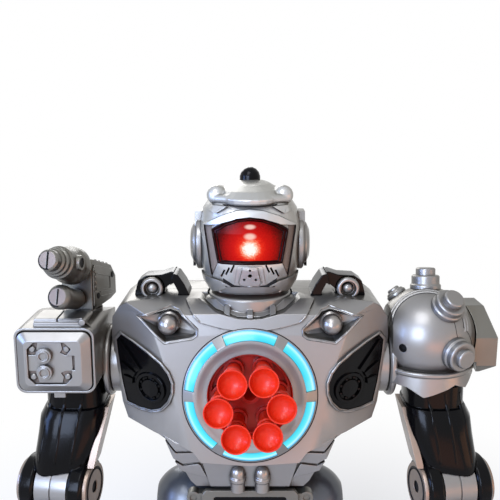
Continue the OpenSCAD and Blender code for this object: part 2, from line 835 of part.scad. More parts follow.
module shoulder_box() color(silver) on_side(right) {
    shoulder_pin();
    difference() {
        intersection() {
            front_slab(box_low[1], box_high[1]) translate([117, (box_low[2] + box_high[2]) / 2])
                rounded_rect(48, box_high[2] - box_low[2], 6);
            side_slab(box_low[0] - 1, box_high[0] + 1) polygon([[-44, 216], [-44, 257], [-8, 257], [24, 251],
                [24, 226], [10, 216]]);
            level_slab(200, 270) polygon([[93, -44], [141, -44], [141, 12], [134, 24], [93, 24]]);
        }
        // Seat of the front panel
        translate([117, 0, 236.5]) front_slab(-60, -41.4) rounded_rect(45, 38, 5);
        // Hollow behind it
        translate([117, 0, 236.5]) front_slab(-42, -6) rounded_rect(34, 28, 4);
    }
    // Bed of the cannon with a parting line
    difference() {
        block([100, -40, box_top - 1], [130, -19, 261.4]);
        block([115.6, -60, 259.4], [116.2, 0, 270]);
        block([90, -41, 259.4], [140, -38.4, 270]);
    }
    translate([100.6, 0, 259.4]) along_y(2, -40.6, -19);
    translate([cannon_x, 0, 0]) {
        along_z(pivot_r, box_top - 4, 268);
        along_z(9, box_top - 4, 258.4);
    }
    // Lug under the box
    block([112, -43, 212.6], [119, -36, 217]);
}

module box_panel() color(silver) on_side(right) translate([117, 0, 236.5]) difference() {
    union() {
        hull() {
            front_slab(-45, -41.4) rounded_rect(44, 37, 5);
            front_slab(-48.6, -41.4) rounded_rect(34, 28, 3);
        }
        for (z = [-5.2, 5.2]) translate([-5, 0, z]) {
            along_y(4.6, -50.2, -44);
            along_y(3.4, -51, -44);
        }
    }
    // Clipped recess round the two studs
    difference() {
        translate([-2, 0, 0]) front_slab(-60, -46.2) polygon([[-13, -9], [-9, -13], [9, -13], [13, -9],
            [13, -4], [15, -4], [15, 5], [10, 5], [13, 9], [9, 13], [-9, 13], [-13, 9]]);
        for (z = [-5.2, 5.2]) translate([-5, 0, z]) along_y(4.6, -60, -44);
    }
    for (z = [-5.2, 5.2]) translate([-5, 0, z]) along_y(2.4, -60, -50);
}

// Places the cannon on its pivot, turned outwards
module on_pivot() on_side(right) translate([cannon_x, 0, 0]) rotate([0, 0, cannon_yaw]) children();

module pitched() translate([0, 0, 274]) rotate([-cannon_pitch, 0, 0]) children();

cannon_side = [[-17, 260.4], [-17, 289], [-13, 292.5], [16, 283], [24, 274], [24, 262], [14, 260.4]];
upper_axis = 8.5;
lower_axis = -11.5;
upper_root = -16.6;
lower_root = -10.5;

module cannon_body() color(silver) on_pivot() difference() {
    union() {
        // Foot on the pivot
        along_z(8.4, 258.8, 262);
        intersection() {
            side_slab(-9.8, 9.8) polygon(cannon_side);
            pitched() block([-9.8, -60, -40], [9.8, 60, 20]);
        }
        // Ribs along the flanks and over the roof
        intersection() {
            side_slab(-10.2, 10.2) offset(delta = 0.6) polygon(cannon_side);
            block([-30, -13, 264], [30, 22, 400]);
            pitched() union() {
                for (i = [0:3]) block([-20, -30, -9 + 5 * i], [20, 30, -7 + 5 * i]);
                for (i = [0:3]) block([-7, -14 + 7 * i, 10], [7, -11 + 7 * i, 40]);
            }
        }
    }
    along_z(pivot_r + pin_gap, 250, 268.4);
    // Sockets of the barrels
    pitched() translate([0, 0, upper_axis]) along_y(6, -60, upper_root);
    pitched() translate([0, 0, lower_axis]) along_y(4.5, -60, lower_root);
    // Vent slots in the flanks
    both() translate([9.8, 0, 0]) {
        translate([0, -9, 271]) rotate([45, 0, 0]) block([-2, -2.4, -2.4], [2, 2.4, 2.4]);
        translate([0, -7, 279]) along_x(1.4, -1, 2);
        translate([0, 15, 277]) along_x(2.2, -2, 2);
    }
}

barrel_top = [[0, 0], [6, 0], [6, 6.6], [11, 6.8], [11.6, 8.4], [11.6, 15], [10.2, 18.6], [9.8, 30], [8.6, 31],
    [8.6, 34], [7.4, 34.6], [7.4, 37], [6.2, 38], [6.2, 43], [5, 44], [0, 44]];
barrel_low = [[0, 0], [4.5, 0], [4.5, 6.2], [6.4, 6.8], [6.4, 25], [7.4, 26], [7.4, 30], [6.4, 32], [5.2, 33],
    [0, 33]];

module cannon_barrels() color(silver) on_pivot() pitched() difference() {
    union() {
        translate([0, upper_root, upper_axis]) rotate([90, 0, 0]) rotate_extrude() polygon(barrel_top);
        translate([0, lower_root, lower_axis]) rotate([90, 0, 0]) rotate_extrude() polygon(barrel_low);
        // Port on the inner flank
        translate([-9, upper_root - 22, upper_axis + 1]) along_x(4.6, -2.6, 8);
    }
    // Slots across the muzzle plugs
    block([-0.4, upper_root - 45, upper_axis - 5], [0.4, upper_root - 42.6, upper_axis + 5]);
    block([-0.4, lower_root - 34, lower_axis - 4.4], [0.4, lower_root - 31.6, lower_axis + 4.4]);
    translate([-12, upper_root - 22, upper_axis + 1]) along_x(3, -1, 2.6);
}

dome_at = [115, -2, 240];
dome_r = 31.4;
dome_seam = 224;

// Stepped caps on the dome: direction, foot radius, head radius, foot height, head height
dome_cap_list = [[[0, 0.16, 1], 9, 6.3, 7.4, 12.2], [[0.26, -0.6, 0.74], 9.6, 6.4, 6, 10.4],
    [[0.42, -0.9, -0.12], 9.6, 6.2, 6, 9.6], [[-0.54, 0.36, 0.74], 6, 4.2, 3, 5]];
dome_rib_axis = [-0.15, -0.86, 0.49];

// Points +Z along a direction
module aim(d) rotate([0, acos(d[2] / norm(d)), atan2(d[1], d[0])]) children();

module dome_ball(r) translate(dome_at) sphere(r = r, $fn = 96);

module above_seam() intersection() {
    children();
    block([boss_face + 1.4, -60, dome_seam], [160, 60, 300]);
}

// Double rib that crosses the dome
module dome_ribs() above_seam() intersection() {
    dome_ball(dome_r + 0.6);
    translate([dome_at[0] - 40, -60, dome_at[2] + 9]) cube([80, 80, 40]);
    for (i = [0, 1]) translate(dome_at) aim(dome_rib_axis) along_z(60, 19.4 + 2 * i, 20.3 + 2 * i);
}

module shoulder_dome() color(silver) {
    shoulder_pin();
    difference() {
        union() {
            above_seam() dome_ball(dome_r);
            // Rim and pointed skirt under the dome
            intersection() {
                translate([dome_at[0], dome_at[1], 0]) rotate_extrude($fn = 96) polygon([[0, 210], [24, 210],
                    [24, 206], [33, 206], [30.8, 219.6], [30.6, 220.4], [31.6, 221.4], [31.6, 223],
                    [30.6, dome_seam], [0, dome_seam]]);
                block([boss_face + 1.4, -60, 200], [160, 60, 230]);
                front_slab(-60, 60) polygon([[88, 226], [88, 214.2], [98.4, 213.7], [108, 208.4],
                    [123.6, 213.7], [128, 215.6], [136, 212.4], [142, 217.6], [152, 218], [152, 226]]);
            }
            // Seat of the upper arm inside the skirt
            translate([dome_at[0], dome_at[1], 0]) along_z(17, 210, 222);
            dome_ribs();
        }
        translate(dome_at) aim([-0.634, -0.774, -0.05]) along_z(2.7, dome_r - 8, dome_r + 5);
        above_seam() dome_ball(22);
    }
}

module dome_caps() color(silver) difference() {
    translate(dome_at) for (c = dome_cap_list) aim(c[0]) translate([0, 0, dome_r]) rotate_extrude()
        polygon([[0, -4], [c[1] + 0.9, -4], [c[1] + 0.9, 1], [c[1], 1.8], [c[1], c[3] - 0.8],
            [c[1] - 0.8, c[3]], [c[2], c[3]], [c[2], c[4] - 0.8], [c[2] - 0.8, c[4]], [0, c[4]]]);
    dome_ball(dome_r);
    dome_ribs();
    // Nothing of the caps reaches below the seam rim
    block([60, -60, 190], [170, 60, dome_seam + 0.1]);
}

module dome_pack() color(silver) difference() {
    intersection() {
        side_slab(130, 159) polygon([[-14, 222], [-14, 241], [0, 258.6], [20, 258.6], [26, 248], [26, 224],
            [18, 216], [-8, 216]]);
        front_slab(-60, 60) polygon([[120, 216], [150, 216], [159, 222], [159, 241], [153, 259], [120, 259]]);
    }
    dome_ball(dome_r + 0.7);
    translate([dome_at[0], dome_at[1], 0]) along_z(33.2, 200, dome_seam + 0.6);
    side_slab(156.8, 170) for (i = [0:2]) translate([-8 + 9 * i, 225]) square([4, 20]);
}

// ---------------------------------------------------------------- arms

// The elbow's own frame: X along the pin, outwards
module at_elbow() translate([arm_datum, elbow_y, elbow_z]) rotate([0, 0, elbow_toe]) children();

upper_levels = [[117, -4, 196, 20, 21], [118.4, -6, 190, 21.6, 22.6], [119.6, -9, 180, 21.4, 22],
    [122, -14, 170, 20, 20], [124.6, -18, 162, 18.6, 17], [126, -21, 156, 17.6, 14]];

// Height where each upper arm meets its shoulder piece
function arm_top(side) = side > 0 ? 210 : box_low[2];

// Slanted strap down the inner flank
module arm_strap() intersection() {
    front_slab(-60, 60) polygon([[95, 194], [99.4, 194], [108.6, 154], [104, 154]]);
    side_slab(80, 120) polygon([[-14, 194], [8, 194], [2, 176], [-8, 158], [-32, 158], [-26, 176]]);
}

module upper_arm(side) color(black) arm_side(side) difference() {
    union() {
        loft([for (i = [len(upper_levels) - 1:-1:0]) upper_levels[i]], 28, 3);
        // Neck that enters the shoulder piece
        loft([[117, -4, 190, 19, 19], [117, -3, arm_top(side), 19, 18]], 28, 3);
        at_elbow() both() translate([barrel_half + 0.4, 0, 0]) rotate([0, 90, 0])
            bevelled_disc(ear_r, elbow_half - barrel_half - 2.6, 1.6);
    }
    arm_strap();
    at_elbow() {
        along_x(barrel_r + move_gap, -barrel_half - 0.4, barrel_half + 0.4);
        block([-barrel_half - 0.4, -60, -40], [barrel_half + 0.4, 60, 0]);
        along_x(elbow_pin_r, -elbow_half - 1, elbow_half + 1);
        // The caps and everything outside them stay clear
        both() along_x(16, elbow_half - 2.2, elbow_half + 20);
    }
}

module elbow_caps(side) color(silver) arm_side(side) {
    at_elbow() {
        both() translate([elbow_half - 2.2, 0, 0]) rotate([0, 90, 0]) rotate_extrude()
            polygon([[0, 0], [16, 0], [15.4, 2.2], [12.6, 2.2], [12.6, 1.4], [11.4, 1.4], [11.4, 2.2],
                [4, 2.2], [3.4, 1], [0, 1]]);
        along_x(elbow_pin_r, -elbow_half + 2, elbow_half - 2);
    }
    // Strap with its two slots
    difference() {
        arm_strap();
        at_elbow() along_x(16.4, -60, -elbow_half + 2.2);
        at_elbow() along_x(ear_r + 0.2, -elbow_half + 2, 0);
        for (y = [-16, -8]) translate([0, y, 0]) rotate([14, 0, 0]) block([80, -1.6, 166], [102, 1.6, 181]);
    }
}

// The forearm's own frame: +Z back along the forearm to the elbow
module along_forearm() at_elbow() rotate([-forearm_bend, 0, 0]) children();

module forearm(side) color(silver) arm_side(side) along_forearm() difference() {
    union() {
        difference() {
            along_x(barrel_r, -barrel_half, barrel_half);
            rotate([0, 90, 0]) translate([0, 0, -0.4]) rotate_extrude()
                translate([barrel_r - 0.8, 0]) square([2, 0.8]);
        }
        block([-10, -9.8, -24], [10, 13, -8]);
        loft([[0, 0, -wrist_s, 14.6, 15], [0, 0, -wrist_s + 3, 16.6, 17], [0, 0, -44, 18, 18.6],
            [0, 0, -30, 17.6, 17.6], [0, 0, -24, 15, 15], [0, 0, -21.6, 12, 13]], 24, 3.4);
        // Raised cuff and the cover on the outer flank
        loft([[0, 0, -52, 18.6, 19], [0, 0, -47, 19, 19.6]], 24, 3.4);
        block([16, -9, -46], [20, 9, -27]);
    }
    along_x(elbow_pin_r + pin_gap, -30, 30);
    along_z(wrist_pin_r + pin_gap, -wrist_s - 1, -wrist_s + 12);
    block([18.8, -5, -43], [21, 5, -40.6]);
    block([18.8, -5, -38], [21, 5, -35.6]);
    block([18.8, -5, -33], [21, 5, -30.6]);
}

module hand(side) color(black) arm_side(side) along_forearm() {
    along_z(wrist_pin_r, -wrist_s - 3, -wrist_s + 11);
    translate([0, 0, -wrist_s - 3.4]) bevelled_disc(11, 3, 0.8);
    // Fist: palm, four curled fingers and a thumb
    block([-9.6, -9.5, -82], [7, 10, -wrist_s - 3]);
    for (i = [0:3]) translate([0, 6.9 - 5 * i, 0]) hull() {
        translate([8, 0, -66]) sphere(r = 2.7, $fn = 10);
        translate([8.4, 0, -77]) sphere(r = 2.7, $fn = 10);
        translate([-4, 0, -82.4]) sphere(r = 2.5, $fn = 10);
    }
    hull() {
        translate([-5, -11, -66]) sphere(r = 3, $fn = 10);
        translate([3.5, -12, -76]) sphere(r = 2.7, $fn = 10);
    }
}

// ---------------------------------------------------------------- legs

leg_in = hip_out;

// The leg's core, that the shin guard fits round
module shank() loft([[leg_x + 1, 0, 46, 15, 17], [leg_x + 1, 0, 72, 15, 16], [leg_x + 1, -1, 84, 17, 19],
    [leg_x + 1, 0, 100, 18.6, 21], [leg_x + 1, 0, hip_z, 19, 22]], 24, 3);

module leg(side) color(dark_silver) on_side(side) difference() {
    union() {
        // Round hip and thigh
        intersection() {
            translate([leg_x, 0, hip_z + 2]) sphere(r = 24, $fn = 64);
            block([leg_in, -40, 90], [leg_x + 21, 40, 160]);
        }
        intersection() {
            shank();
            block([leg_in, -40, 40], [90, 40, 160]);
        }
        // Fork that takes the foot's ankle lug
        block([leg_x - 13, -10, ankle_z - 8], [leg_x - 7.4, 10, 50]);
        block([leg_x + 7.4, -10, ankle_z - 8], [leg_x + 13, 10, 50]);
        translate([leg_x, 0, ankle_z]) along_x(ankle_pin_r, -13, 13);
        // Knee cap
        translate([leg_x, -15, 91]) rotate([90, 0, 0]) bevelled_disc(9.5, 9, 1.4);
    }
    translate([0, 0, hip_z]) along_x(hip_pin_r + pin_gap, 10, hip_in + 18);
    translate([leg_x, 0, hip_z]) along_x(9, 20, 22);
}

module shin_guard(side) color(silver) on_side(side) difference() {
    union() {
        loft([[leg_x, -2, 43, 24, 26], [leg_x, -2, 48, 24.6, 26.4], [leg_x, -1, 60, 21.4, 23],
            [leg_x, 0, 74, 18.4, 20], [leg_x, 0, 78, 17.4, 19]], 28, 3.4);
        // Raised plate on the front
        intersection() {
            loft([[leg_x, -2, 46, 25.6, 27.8], [leg_x, -1, 60, 22.6, 24.6], [leg_x, 0, 75, 19.4, 21.4]],
                28, 3.4);
            translate([leg_x, 0, 0]) front_slab(-60, -6) polygon([[-12, 47], [12, 47], [9, 74], [-9, 74]]);
        }
    }
    shank();
    block([leg_x - 17, -18, 40], [leg_x + 17, 18, 52]);
    for (i = [0:2]) translate([leg_x, 0, 54 + 6 * i]) block([-40, 8, 0], [40, 14 - i, 2.4]);
}

foot_side = [[-foot_l + heel_reach, 0], [heel_reach, 0], [heel_reach, 20], [heel_reach - 6, 27], [20, 30],
    [-20, 30], [-44, 21], [-foot_l + heel_reach + 2, 12]];

module foot_plan(grow) offset(delta = grow) polygon([[-26, heel_reach - foot_l], [26, heel_reach - foot_l],
    [foot_w / 2, heel_reach - foot_l + 12], [foot_w / 2, 14], [foot_w / 2 - 6, heel_reach],
    [-foot_w / 2 + 6, heel_reach], [-foot_w / 2, 14], [-foot_w / 2, heel_reach - foot_l + 12]]);

module foot(side) color(silver) on_side(side) translate([leg_x, 0, 0]) difference() {
    union() {
        intersection() {
            side_slab(-60, 60) polygon(foot_side);
            level_slab(0, 60) foot_plan(0);
        }
        // Sole rim and toe plate
        level_slab(2.4, 6) foot_plan(1);
        intersection() {
            translate([0, 0, 1.6]) side_slab(-18, 18) polygon(foot_side);
            block([-20, -62, 8], [20, -24, 40]);
        }
        // Lug of the ankle joint
        block([-7, -8, 20], [7, 8, ankle_z]);
        translate([0, 0, ankle_z]) along_x(8, -7, 7);
    }
    translate([0, 0, ankle_z]) along_x(ankle_pin_r + pin_gap, -20, 20);
    // Room for the leg's fork
    both() block([6.9, -15, 14], [14.4, 15, 60]);
    // Wells of the rollers, open below
    for (y = [roller_front, roller_rear]) translate([0, y, 0])
        block([-roller_half - 1, -roller_r - 1.4, -1], [roller_half + 1, roller_r + 1.4, 17]);
    both() block([20, -4, 24], [40, 12, 26]);
    both() block([20, -4, 20], [40, 12, 22]);
}

module foot_axles(side) on_side(side) translate([leg_x, 0, roller_r]) for (y = [roller_front, roller_rear])
    translate([0, y, 0]) along_x(axle_r, -roller_half - 3, roller_half + 3);

module roller(side, y) color(black) on_side(side) translate([leg_x, y, roller_r]) difference() {
    translate([-roller_half, 0, 0]) rotate([0, 90, 0]) bevelled_disc(roller_r, 2 * roller_half, 0.8);
    along_x(axle_r + pin_gap, -20, 20);
}

module axled_foot(side) {
    foot(side);
    color(silver) foot_axles(side);
}

stand() chest_shell();
stand() back_shell();
stand() chest_ring();
stand() light_ring();
stand() drum_housing();
stand() wing_panels();
stand() chest_studs();
stand() jet_brackets();
stand() jet_nozzles();
stand() neck_collar();
stand() belly_bullets();
stand() belt_plate();
stand() pelvis();
stand() battery_cover();
stand() speaker_grille();
stand() case_screws();
stand() circuit_board();
stand() drive_motor();
stand() battery_cells();
stand() power_switch();
stand() helmet_front();
stand() helmet_rear();
stand() visor();
stand() face_guard();
stand() helmet_crest();
stand() receiver_dome();
stand() ear_pods();
stand() eye_lamp();
stand() dart_drum();
stand() dart(1);  // dart_1
stand() dart(2);  // dart_2
stand() dart(3);  // dart_3
stand() dart(4);  // dart_4
stand() dart(5);  // dart_5
stand() dart(6);  // dart_6
stand() shoulder_box();
stand() box_panel();
stand() cannon_body();
stand() cannon_barrels();
stand() upper_arm(right);  // upper_arm_right
stand() elbow_caps(right);  // elbow_caps_right
stand() forearm(right);  // forearm_right
stand() hand(right);  // hand_right
stand() shoulder_dome();
stand() dome_caps();
stand() dome_pack();
stand() upper_arm(left);  // upper_arm_left
stand() elbow_caps(left);  // elbow_caps_left
stand() forearm(left);  // forearm_left
stand() hand(left);  // hand_left
stand() leg(left);  // leg_left
stand() shin_guard(left);  // shin_guard_left
stand() axled_foot(left);  // foot_left
stand() roller(left, roller_front);  // front_roller_left
stand() roller(left, roller_rear);  // rear_roller_left
stand() leg(right);  // leg_right
stand() shin_guard(right);  // shin_guard_right
stand() axled_foot(right);  // foot_right
stand() roller(right, roller_front);  // front_roller_right
stand() roller(right, roller_rear);  // rear_roller_right
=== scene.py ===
"""Visual model of a walking toy robot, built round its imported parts.

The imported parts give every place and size. Each one is copied, its loose faces are joined,
its edges are rounded, and it gets a procedural finish; fine details are modelled on top.
"""
from __future__ import annotations

import json
import logging
import math
from contextlib import contextmanager
from dataclasses import dataclass, field
from enum import Enum
from typing import Callable, Iterable, Iterator, Sequence

import bpy
from bpy.types import Material, Node, NodeSocket, NodeTree, Object
from mathutils import Matrix, Vector
from mathutils.bvhtree import BVHTree

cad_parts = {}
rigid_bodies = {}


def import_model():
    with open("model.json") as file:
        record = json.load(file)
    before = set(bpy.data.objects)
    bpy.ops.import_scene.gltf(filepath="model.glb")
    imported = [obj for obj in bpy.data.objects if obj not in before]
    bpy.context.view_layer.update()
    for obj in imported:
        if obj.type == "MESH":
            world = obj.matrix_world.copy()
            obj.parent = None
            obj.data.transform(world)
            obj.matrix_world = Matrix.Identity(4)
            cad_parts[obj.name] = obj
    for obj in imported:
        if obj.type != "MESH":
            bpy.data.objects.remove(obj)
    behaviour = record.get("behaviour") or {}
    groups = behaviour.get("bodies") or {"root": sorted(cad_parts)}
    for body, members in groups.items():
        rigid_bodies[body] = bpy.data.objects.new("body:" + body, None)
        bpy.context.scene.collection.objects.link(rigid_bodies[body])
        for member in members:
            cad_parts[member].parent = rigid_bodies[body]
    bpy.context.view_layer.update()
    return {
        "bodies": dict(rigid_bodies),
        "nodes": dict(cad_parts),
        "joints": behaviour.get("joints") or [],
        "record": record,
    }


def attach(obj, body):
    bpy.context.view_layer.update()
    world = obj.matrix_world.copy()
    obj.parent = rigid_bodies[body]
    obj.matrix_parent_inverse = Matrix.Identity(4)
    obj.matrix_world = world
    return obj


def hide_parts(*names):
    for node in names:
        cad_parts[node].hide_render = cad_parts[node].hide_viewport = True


LOG = logging.getLogger("robot")
FRAME: dict = {}
MM = 0.001
# Where the neck's upright stands in the frame, in metres
NECK = Vector((-4.64 * MM, 13.73 * MM, 0.0))
FRONT = Vector((0.0, -1.0, 0.0))
BACK = Vector((0.0, 1.0, 0.0))
SIDEWAYS = Vector((1.0, 0.0, 0.0))
# How far a crease shades the paint beside it, and how many rays look for one
CREASE_REACH_MM = 3.2
CREASE_RAYS = 6
COAT_ROUGHNESS = 0.08
# How far red, green and blue light travel inside a soft plastic, in metres
SOFT_REACH = (0.004, 0.0015, 0.001)
# Corners closer than this are one, and faces closer than this angle are flat
MERGE_MM = 0.01
FLAT_DEGREES = 1.0
# Faces across a rounded edge
ROUNDING_FACES = 2
# A rounded corner that lies further from the old surface than this share of the rounding is astray
STRAY_SHARE = 0.8
# Rays that look for the front of the head and of the chest start this far forward
HEAD_AHEAD_MM = -80.0
CHEST_AHEAD_MM = -90.0
# The cannon's pivot, the way its barrels point, and how far along it the two plugs lie
CANNON_PIVOT = Vector((-105.5, 0.0, 274.0))
CANNON_AHEAD = Vector((-0.165, -0.937, 0.309))
CANNON_PLUGS = (60.4, 43.3)

Place = tuple[float, float, float]
Outline = tuple[tuple[float, float], ...]


def linear(hex_colour: str) -> tuple[float, float, float, float]:
    """Turns an sRGB hex value into linear light.

    Args:
        hex_colour: Six hex digits after a hash sign.

    Returns:
        Linear red, green and blue, and one for its alpha.
    """
    parts = [int(hex_colour[i:i + 2], 16) / 255.0 for i in (1, 3, 5)]
    red, green, blue = (p / 12.92 if p <= 0.04045 else ((p + 0.055) / 1.055) ** 2.4 for p in parts)
    return red, green, blue, 1.0


def spot(x: float, y: float, z: float) -> Vector:
    """Returns the frame's point, in metres, for one in millimetres from the neck's upright on the floor."""
    return NECK + Vector((x, y, z)) * MM


# ---------------------------------------------------------------- finishes


def add_node(
    tree: NodeTree,
    kind: str,
    settings: dict[str, object] | None = None,
    inputs: dict[str | int, object] | None = None,
) -> Node:
    """Adds one shader node with its settings, values and incoming links.

    Args:
        tree: The node tree.
        kind: The node's type name.
        settings: Attributes to set on the node.
        inputs: For each input, a value or an output socket to link from.

    Returns:
        The new node.
    """
    made = tree.nodes.new(kind)
    for key, value in (settings or {}).items():
        setattr(made, key, value)
    for key, value in (inputs or {}).items():
        if isinstance(value, NodeSocket):
            tree.links.new(value, made.inputs[key])
        else:
            made.inputs[key].default_value = value
    return made


def mixed(tree: NodeTree, share: NodeSocket, first: object, second: object) -> NodeSocket:
    """Returns the mix of two colours, with the given share of the second one."""
    return add_node(tree, "ShaderNodeMix", {"data_type": "RGBA"}, {
        "Factor": share, 6: first, 7: second}).outputs[2]


def eased(
    tree: NodeTree, value: NodeSocket, start: float, end: float, low: float = 0.0, high: float = 1.0,
) -> NodeSocket:
    """Returns a smooth change from low to high while a value goes from its start to its end."""
    return add_node(tree, "ShaderNodeMapRange", {"interpolation_type": "SMOOTHSTEP"}, {
        "Value": value, "From Min": start, "From Max": end, "To Min": low, "To Max": high}).outputs["Result"]


def worked(tree: NodeTree, operation: str, *values: object) -> NodeSocket:
    """Returns the result of one step of arithmetic with numbers."""
    made = add_node(tree, "ShaderNodeMath", {"operation": operation}, dict(enumerate(values)))
    return made.outputs["Value"]


def placed(tree: NodeTree, operation: str, *values: object, out: str = "Vector") -> NodeSocket:
    """Returns the result of one step of arithmetic with places: a place, or the length called Value."""
    made = add_node(tree, "ShaderNodeVectorMath", {"operation": operation}, dict(enumerate(values)))
    return made.outputs[out]


@dataclass(frozen=True)
class Finish:
    """One surface finish, made once and shared.

    Attributes:
        name: The finish in a maker's words.
        slot: The record's material slot that it belongs to; not used.
        base: Main colour.
        tint: Colour of the faint patches that moulding and handling leave.
        crease: Painted shade: the darker colour mixed in where creases and recesses get little open sky.
        roughness: Micro-roughness of the surface.
        metallic: Share of metal in the surface.
        coat: Weight of a clear lacquer.
        gloss: Strength of the plain surface's reflection; a moulded plastic has 0.5.
        patch_mm: Size of the patches.
        grain_mm: Size of the surface grain.
        grain: Height of the grain, as bump strength.
        soft: Weight of light scattered under the surface.
        flop: Darker colour where the surface is seen edge-on, or nothing: partly a flake paint's real
            darkening, partly painted shade on the rims of rounded forms.
        glow: Colour that the surface gives off, or nothing; on a lit part it is its own light, on a part that
            is no lamp it is painted light.
        glow_strength: Strength of that light.
    """

    name: str
    slot: str
    base: str
    tint: str
    crease: str
    roughness: float
    metallic: float
    coat: float
    gloss: float
    patch_mm: float
    grain_mm: float
    grain: float
    soft: float = 0.0
    flop: str | None = None
    glow: str | None = None
    glow_strength: float = 0.0

    def material(self) -> Material:
        """Returns the finish's material, and makes it at the first call."""
        found = bpy.data.materials.get(self.name)
        return found if found else self.build()

    def build(self) -> Material:
        """Makes the material: patches in colour and roughness, painted shade in the creases and a fine grain
        in relief.

        Returns:
            The new material.
        """
        made = bpy.data.materials.new(self.name)
        made.use_nodes = True
        tree = made.node_tree
        shader = tree.nodes["Principled BSDF"]
        place = add_node(tree, "ShaderNodeTexCoord").outputs["Object"]
        patch = add_node(tree, "ShaderNodeTexNoise", {"noise_dimensions": "3D"}, {
            "Vector": place, "Scale": 1.0 / (self.patch_mm * MM), "Detail": 4.0, "Roughness": 0.55,
        }).outputs["Fac"]
        rough = add_node(tree, "ShaderNodeMapRange", {}, {
            "Value": patch, "From Min": 0.3, "From Max": 0.7,
            "To Min": self.roughness * 0.85, "To Max": min(1.0, self.roughness * 1.2)})
        grain = add_node(tree, "ShaderNodeTexNoise", {}, {
            "Vector": place, "Scale": 1.0 / (self.grain_mm * MM), "Detail": 2.0})
        bump = add_node(tree, "ShaderNodeBump", {}, {
            "Height": grain.outputs["Fac"], "Strength": self.grain, "Distance": self.grain_mm * MM})
        tree.links.new(self.colour(tree, patch), shader.inputs["Base Color"])
        tree.links.new(rough.outputs["Result"], shader.inputs["Roughness"])
        tree.links.new(bump.outputs["Normal"], shader.inputs["Normal"])
        plain = {
            "Metallic": self.metallic, "Specular IOR Level": self.gloss, "Coat Weight": self.coat,
            "Coat Roughness": COAT_ROUGHNESS, "Subsurface Weight": self.soft, "Subsurface Radius": SOFT_REACH}
        if self.glow:
            plain |= {"Emission Color": linear(self.glow), "Emission Strength": self.glow_strength}
        for socket, value in plain.items():
            shader.inputs[socket].default_value = value
        self.dress(tree, shader, place)
        return made

    def colour(self, tree: NodeTree, patch: NodeSocket) -> NodeSocket:
        """Adds the surface's colour: its patches, painted shade in its creases, and a darker tone edge-on
        that is partly the paint's own and partly painted shade.

        Args:
            tree: The material's node tree.
            patch: The patches' noise.

        Returns:
            The colour's socket.
        """
        # Painted shade: ambient occlusion finds the creases, and the crease colour is mixed in there
        open_sky = add_node(tree, "ShaderNodeAmbientOcclusion", {"samples": CREASE_RAYS}, {
            "Distance": CREASE_REACH_MM * MM})
        openness = eased(tree, open_sky.outputs["AO"], 0.25, 0.85)
        shown = mixed(tree, patch, linear(self.base), linear(self.tint))
        shown = mixed(tree, openness, linear(self.crease), shown)
        if not self.flop:
            return shown
        # Partly painted shade: the colour darkens where the surface turns edge-on, partly as a flake paint
        # really does
        facing = add_node(tree, "ShaderNodeLayerWeight", {}, {"Blend": 0.5}).outputs["Facing"]
        return mixed(tree, eased(tree, facing, 0.12, 0.85, 0.0, 0.8), shown, linear(self.flop))

    def dress(self, tree: NodeTree, shader: Node, place: NodeSocket) -> None:
        """Lets a special finish add to the plain one.

        Args:
            tree: The material's node tree.
            shader: Its surface shader.
            place: The object coordinates.
        """


@dataclass(frozen=True)
class GlowFinish(Finish):
    """A lit surface whose light falls off round its lamp.

    Attributes:
        lamp: Place of the lamp, in metres.
        stops: Distance in millimetres and colour of each stop.
        ragged_mm: How far the edges of the bands wander.
        spots: Place, size and stretch of the painted highlights, pale patches where the studio lamps'
            reflections would be.
    """

    lamp: Place = (0.0, 0.0, 0.0)
    stops: tuple[tuple[float, str], ...] = ()
    ragged_mm: float = 0.0
    spots: tuple[tuple[Place, float, Place], ...] = ()

    def dress(self, tree: NodeTree, shader: Node, place: NodeSocket) -> None:
        """Adds light that falls off with the distance from the lamp, then the painted highlights.

        Args:
            tree: The material's node tree.
            shader: Its surface shader.
            place: The object coordinates.
        """
        reach = self.stops[-1][0]
        away = placed(tree, "DISTANCE", place, self.lamp, out="Value")
        ragged = add_node(tree, "ShaderNodeTexNoise", {}, {"Vector": place, "Scale": 1400.0, "Detail": 3.0})
        wander = worked(tree, "MULTIPLY_ADD", ragged.outputs["Fac"], self.ragged_mm * MM, away)
        share = worked(tree, "DIVIDE", wander, reach * MM)
        ramp = add_node(tree, "ShaderNodeValToRGB", {}, {"Fac": share})
        bands = ramp.color_ramp.elements
        while len(bands) < len(self.stops):
            bands.new(0.5)
        for band, (distance, colour) in zip(bands, self.stops):
            band.position = distance / reach
            band.color = linear(colour)
        shown = ramp.outputs["Color"]
        # Painted highlights: pale pink patches mixed into the glow
        for middle, size_mm, stretch in self.spots:
            moved = placed(tree, "SUBTRACT", place, middle)
            scaled = placed(tree, "MULTIPLY", moved, stretch)
            length = placed(tree, "LENGTH", scaled, out="Value")
            highlight_share = eased(tree, length, size_mm * 0.35 * MM, size_mm * MM, 0.85, 0.0)
            shown = mixed(tree, highlight_share, shown, linear("#ffd9cc"))
        tree.links.new(shown, shader.inputs["Emission Color"])


# Each one gives its name, slot and three colours; roughness, metal, lacquer and gloss; the patches' size, the
# grain's size and height, and the softness.

# ABS sprayed with a fine-flake silver: the flakes give a broad soft sheen under a thin lacquer
PEARL = Finish(
    "flake_silver_spray", "satin_silver", "#94928f", "#83807b", "#433d37",
    0.34, 0.64, 0.2, 0.5, 38.0, 0.5, 0.03, flop="#4e493f")
# The same paint, darker, on the cannon, the dome's pack and the belt plate
PEARL_DARK = Finish(
    "flake_silver_spray_dark", "satin_silver", "#74726a", "#67645b", "#2e2a25",
    0.36, 0.6, 0.15, 0.5, 30.0, 0.5, 0.03, flop="#403d34")
